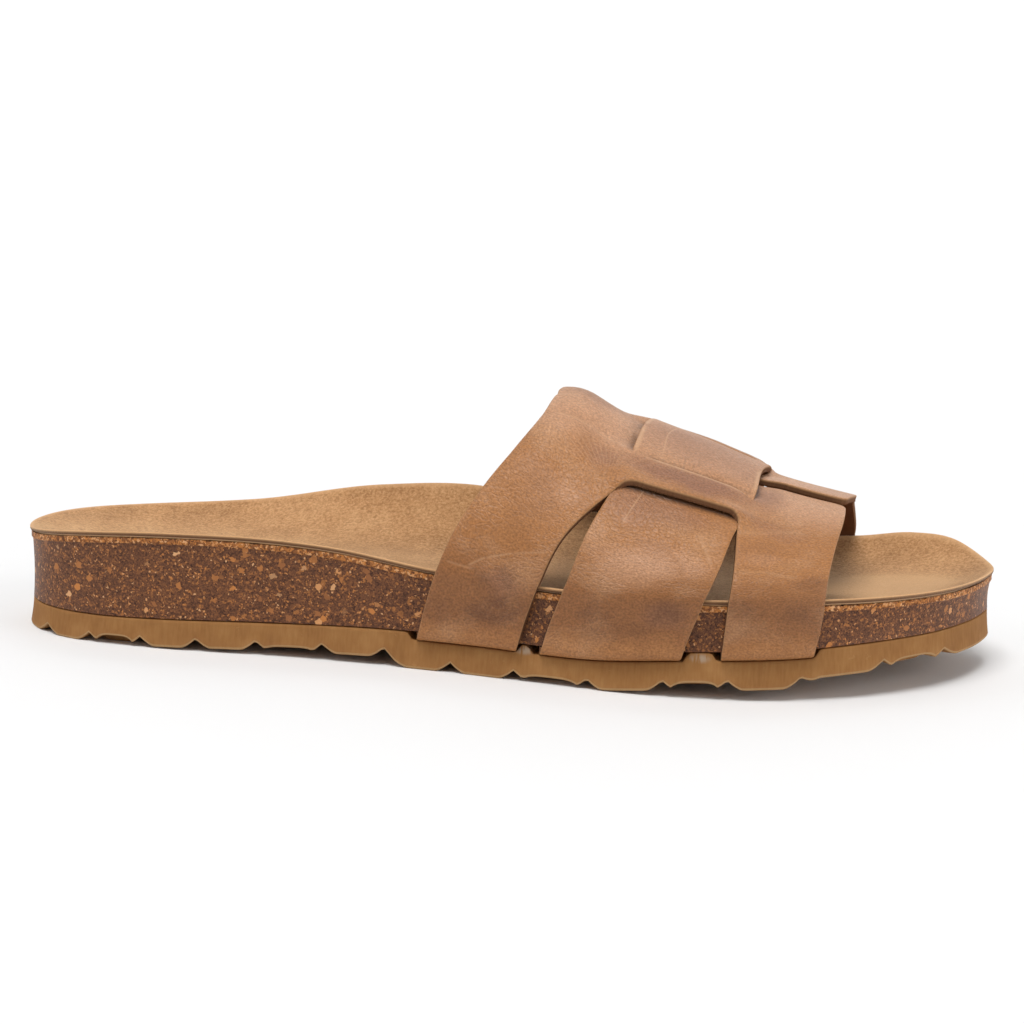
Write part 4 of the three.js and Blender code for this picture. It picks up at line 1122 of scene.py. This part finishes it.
# Pale crease lines, with a painted highlight along the upper edge of the bar
VAMP_PALE_CREASES_AND_HIGHLIGHTS = (
    (128, -63.3, 133, -60, 0.5, 0.35), (132.5, -60.4, 140, -57.6, 0.5, 0.35),
    (139.5, -57.8, 149, -55.5, 0.5, 0.3), (122, -63, 130, -64, 0.5, 0.25),
    (194, -35, 204, -30, 2, 0.2), (202, -30.5, 213, -27, 2, 0.2),
    (195, -52.6, 204, -50.2, 1.5, 0.2), (202, -50.2, 211, -53, 1.5, 0.2),
    (146, -12, 157, -11, 0.7, 0.35), (156, -11, 166, -14, 0.6, 0.4),
    (170, -15.9, 198, -15.9, 0.9, 0.8))
# Painted shadow lines beside the patch's edges
VAMP_SHADOW_LINES = (
    (167.6, -2, 166.4, -16, 1.3, 0.4), (167.6, 2, 166.4, 16, 1.3, 0.4),
    (199.9, -14, 199.9, 14, 1.2, 0.5))
vamp.data.materials.append(leather_material(
    "Oiled leather, vamp", VAMP_SMUDGES_AND_SHADE, VAMP_TINTS, VAMP_HIGHLIGHTS, VAMP_PALE_CREASES_AND_HIGHLIGHTS,
    VAMP_SHADOW_LINES, (162, -30)))
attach(vamp, "root")
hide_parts("upper")

# Floor and backdrop: one white sheet that curves up far behind the sandal.
# It isn't part of the sandal.
COVE_START, COVE_RADIUS, FLOOR_HALF, FLOOR_FRONT, WALL_TOP = 1.4, 0.8, 3, -3, 4
profile = [(FLOOR_FRONT, 0)] + [
    (COVE_START + COVE_RADIUS * math.sin(a), COVE_RADIUS * (1 - math.cos(a)))
    for a in np.linspace(0, math.pi / 2, 25)] + [(COVE_START + COVE_RADIUS, WALL_TOP)]
floor_mesh = bpy.data.meshes.new("floor")
floor_mesh.from_pydata(
    [(x, y, z) for y, z in profile for x in (-FLOOR_HALF, FLOOR_HALF)], [],
    [(2 * i, 2 * i + 1, 2 * i + 3, 2 * i + 2) for i in range(len(profile) - 1)])
floor_mesh.shade_smooth()
floor = bpy.data.objects.new("floor", floor_mesh)
bpy.context.scene.collection.objects.link(floor)
floor_mesh.materials.append(new_material("White paper", (0.81, 0.81, 0.81), 0.9, 0.5)[0])

# Studio light: four broad soft lamps, the main one from above in front, one from behind and
# above, and a lower one from each side. A pale surround fills the shadows.
LAMPS = (
    ("overhead", (-0.12, -0.35, 1), 30, 2.25),
    ("back", (0.1, 0.8, 0.75), 50, 1.6),
    ("right", (0.97, -0.25, 0.3), 45, 1.4),
    ("left", (-0.95, -0.35, 0.3), 45, 0.75),
)
for name, way, spread, strength in LAMPS:
    lamp = bpy.data.lights.new(name, "SUN")
    lamp.angle = math.radians(spread)
    lamp.energy = strength
    lamp_object = bpy.data.objects.new(name, lamp)
    lamp_object.rotation_euler = Vector(way).to_track_quat("Z", "Y").to_euler()
    bpy.context.scene.collection.objects.link(lamp_object)
world = bpy.data.worlds.new("surround")
world.use_nodes = True
world.node_tree.nodes["Background"].inputs["Color"].default_value = (1, 1, 1, 1)
world.node_tree.nodes["Background"].inputs["Strength"].default_value = 0.25
bpy.context.scene.world = world
bpy.context.scene.view_settings.view_transform = "Standard"

# Camera: beside the outer side, a little above the sandal and turned toward its toe.
# Its place comes from the rim, seam and lug lines of the photo.
CAMERA_TURN, CAMERA_RISE, CAMERA_ROLL = (math.radians(a) for a in (7.4, 10.31, 2.05))
CAMERA_DISTANCE, CAMERA_LENS, CAMERA_SENSOR = 560, 72.37, 36
CAMERA_SHIFT = (0.0073, 0.0216)
LOOK_AT = np.array([LENGTH / 2, 0, 30])
back = Vector((
    math.sin(CAMERA_TURN) * math.cos(CAMERA_RISE),
    -math.cos(CAMERA_TURN) * math.cos(CAMERA_RISE), math.sin(CAMERA_RISE)))
level = Vector((math.cos(CAMERA_TURN), math.sin(CAMERA_TURN), 0))
upright = back.cross(level)
right = level * math.cos(CAMERA_ROLL) + upright * math.sin(CAMERA_ROLL)
up = upright * math.cos(CAMERA_ROLL) - level * math.sin(CAMERA_ROLL)
camera_data = bpy.data.cameras.new("camera")
camera_data.lens = CAMERA_LENS
camera_data.sensor_width = CAMERA_SENSOR
camera_data.shift_x, camera_data.shift_y = CAMERA_SHIFT
camera_data.clip_start = 0.01
camera = bpy.data.objects.new("camera", camera_data)
place = Vector(in_frame(LOOK_AT)) + back * (CAMERA_DISTANCE / 1000)
camera.matrix_world = Matrix.Translation(place) @ Matrix((right, up, back)).transposed().to_4x4()
bpy.context.scene.collection.objects.link(camera)
bpy.context.scene.camera = camera
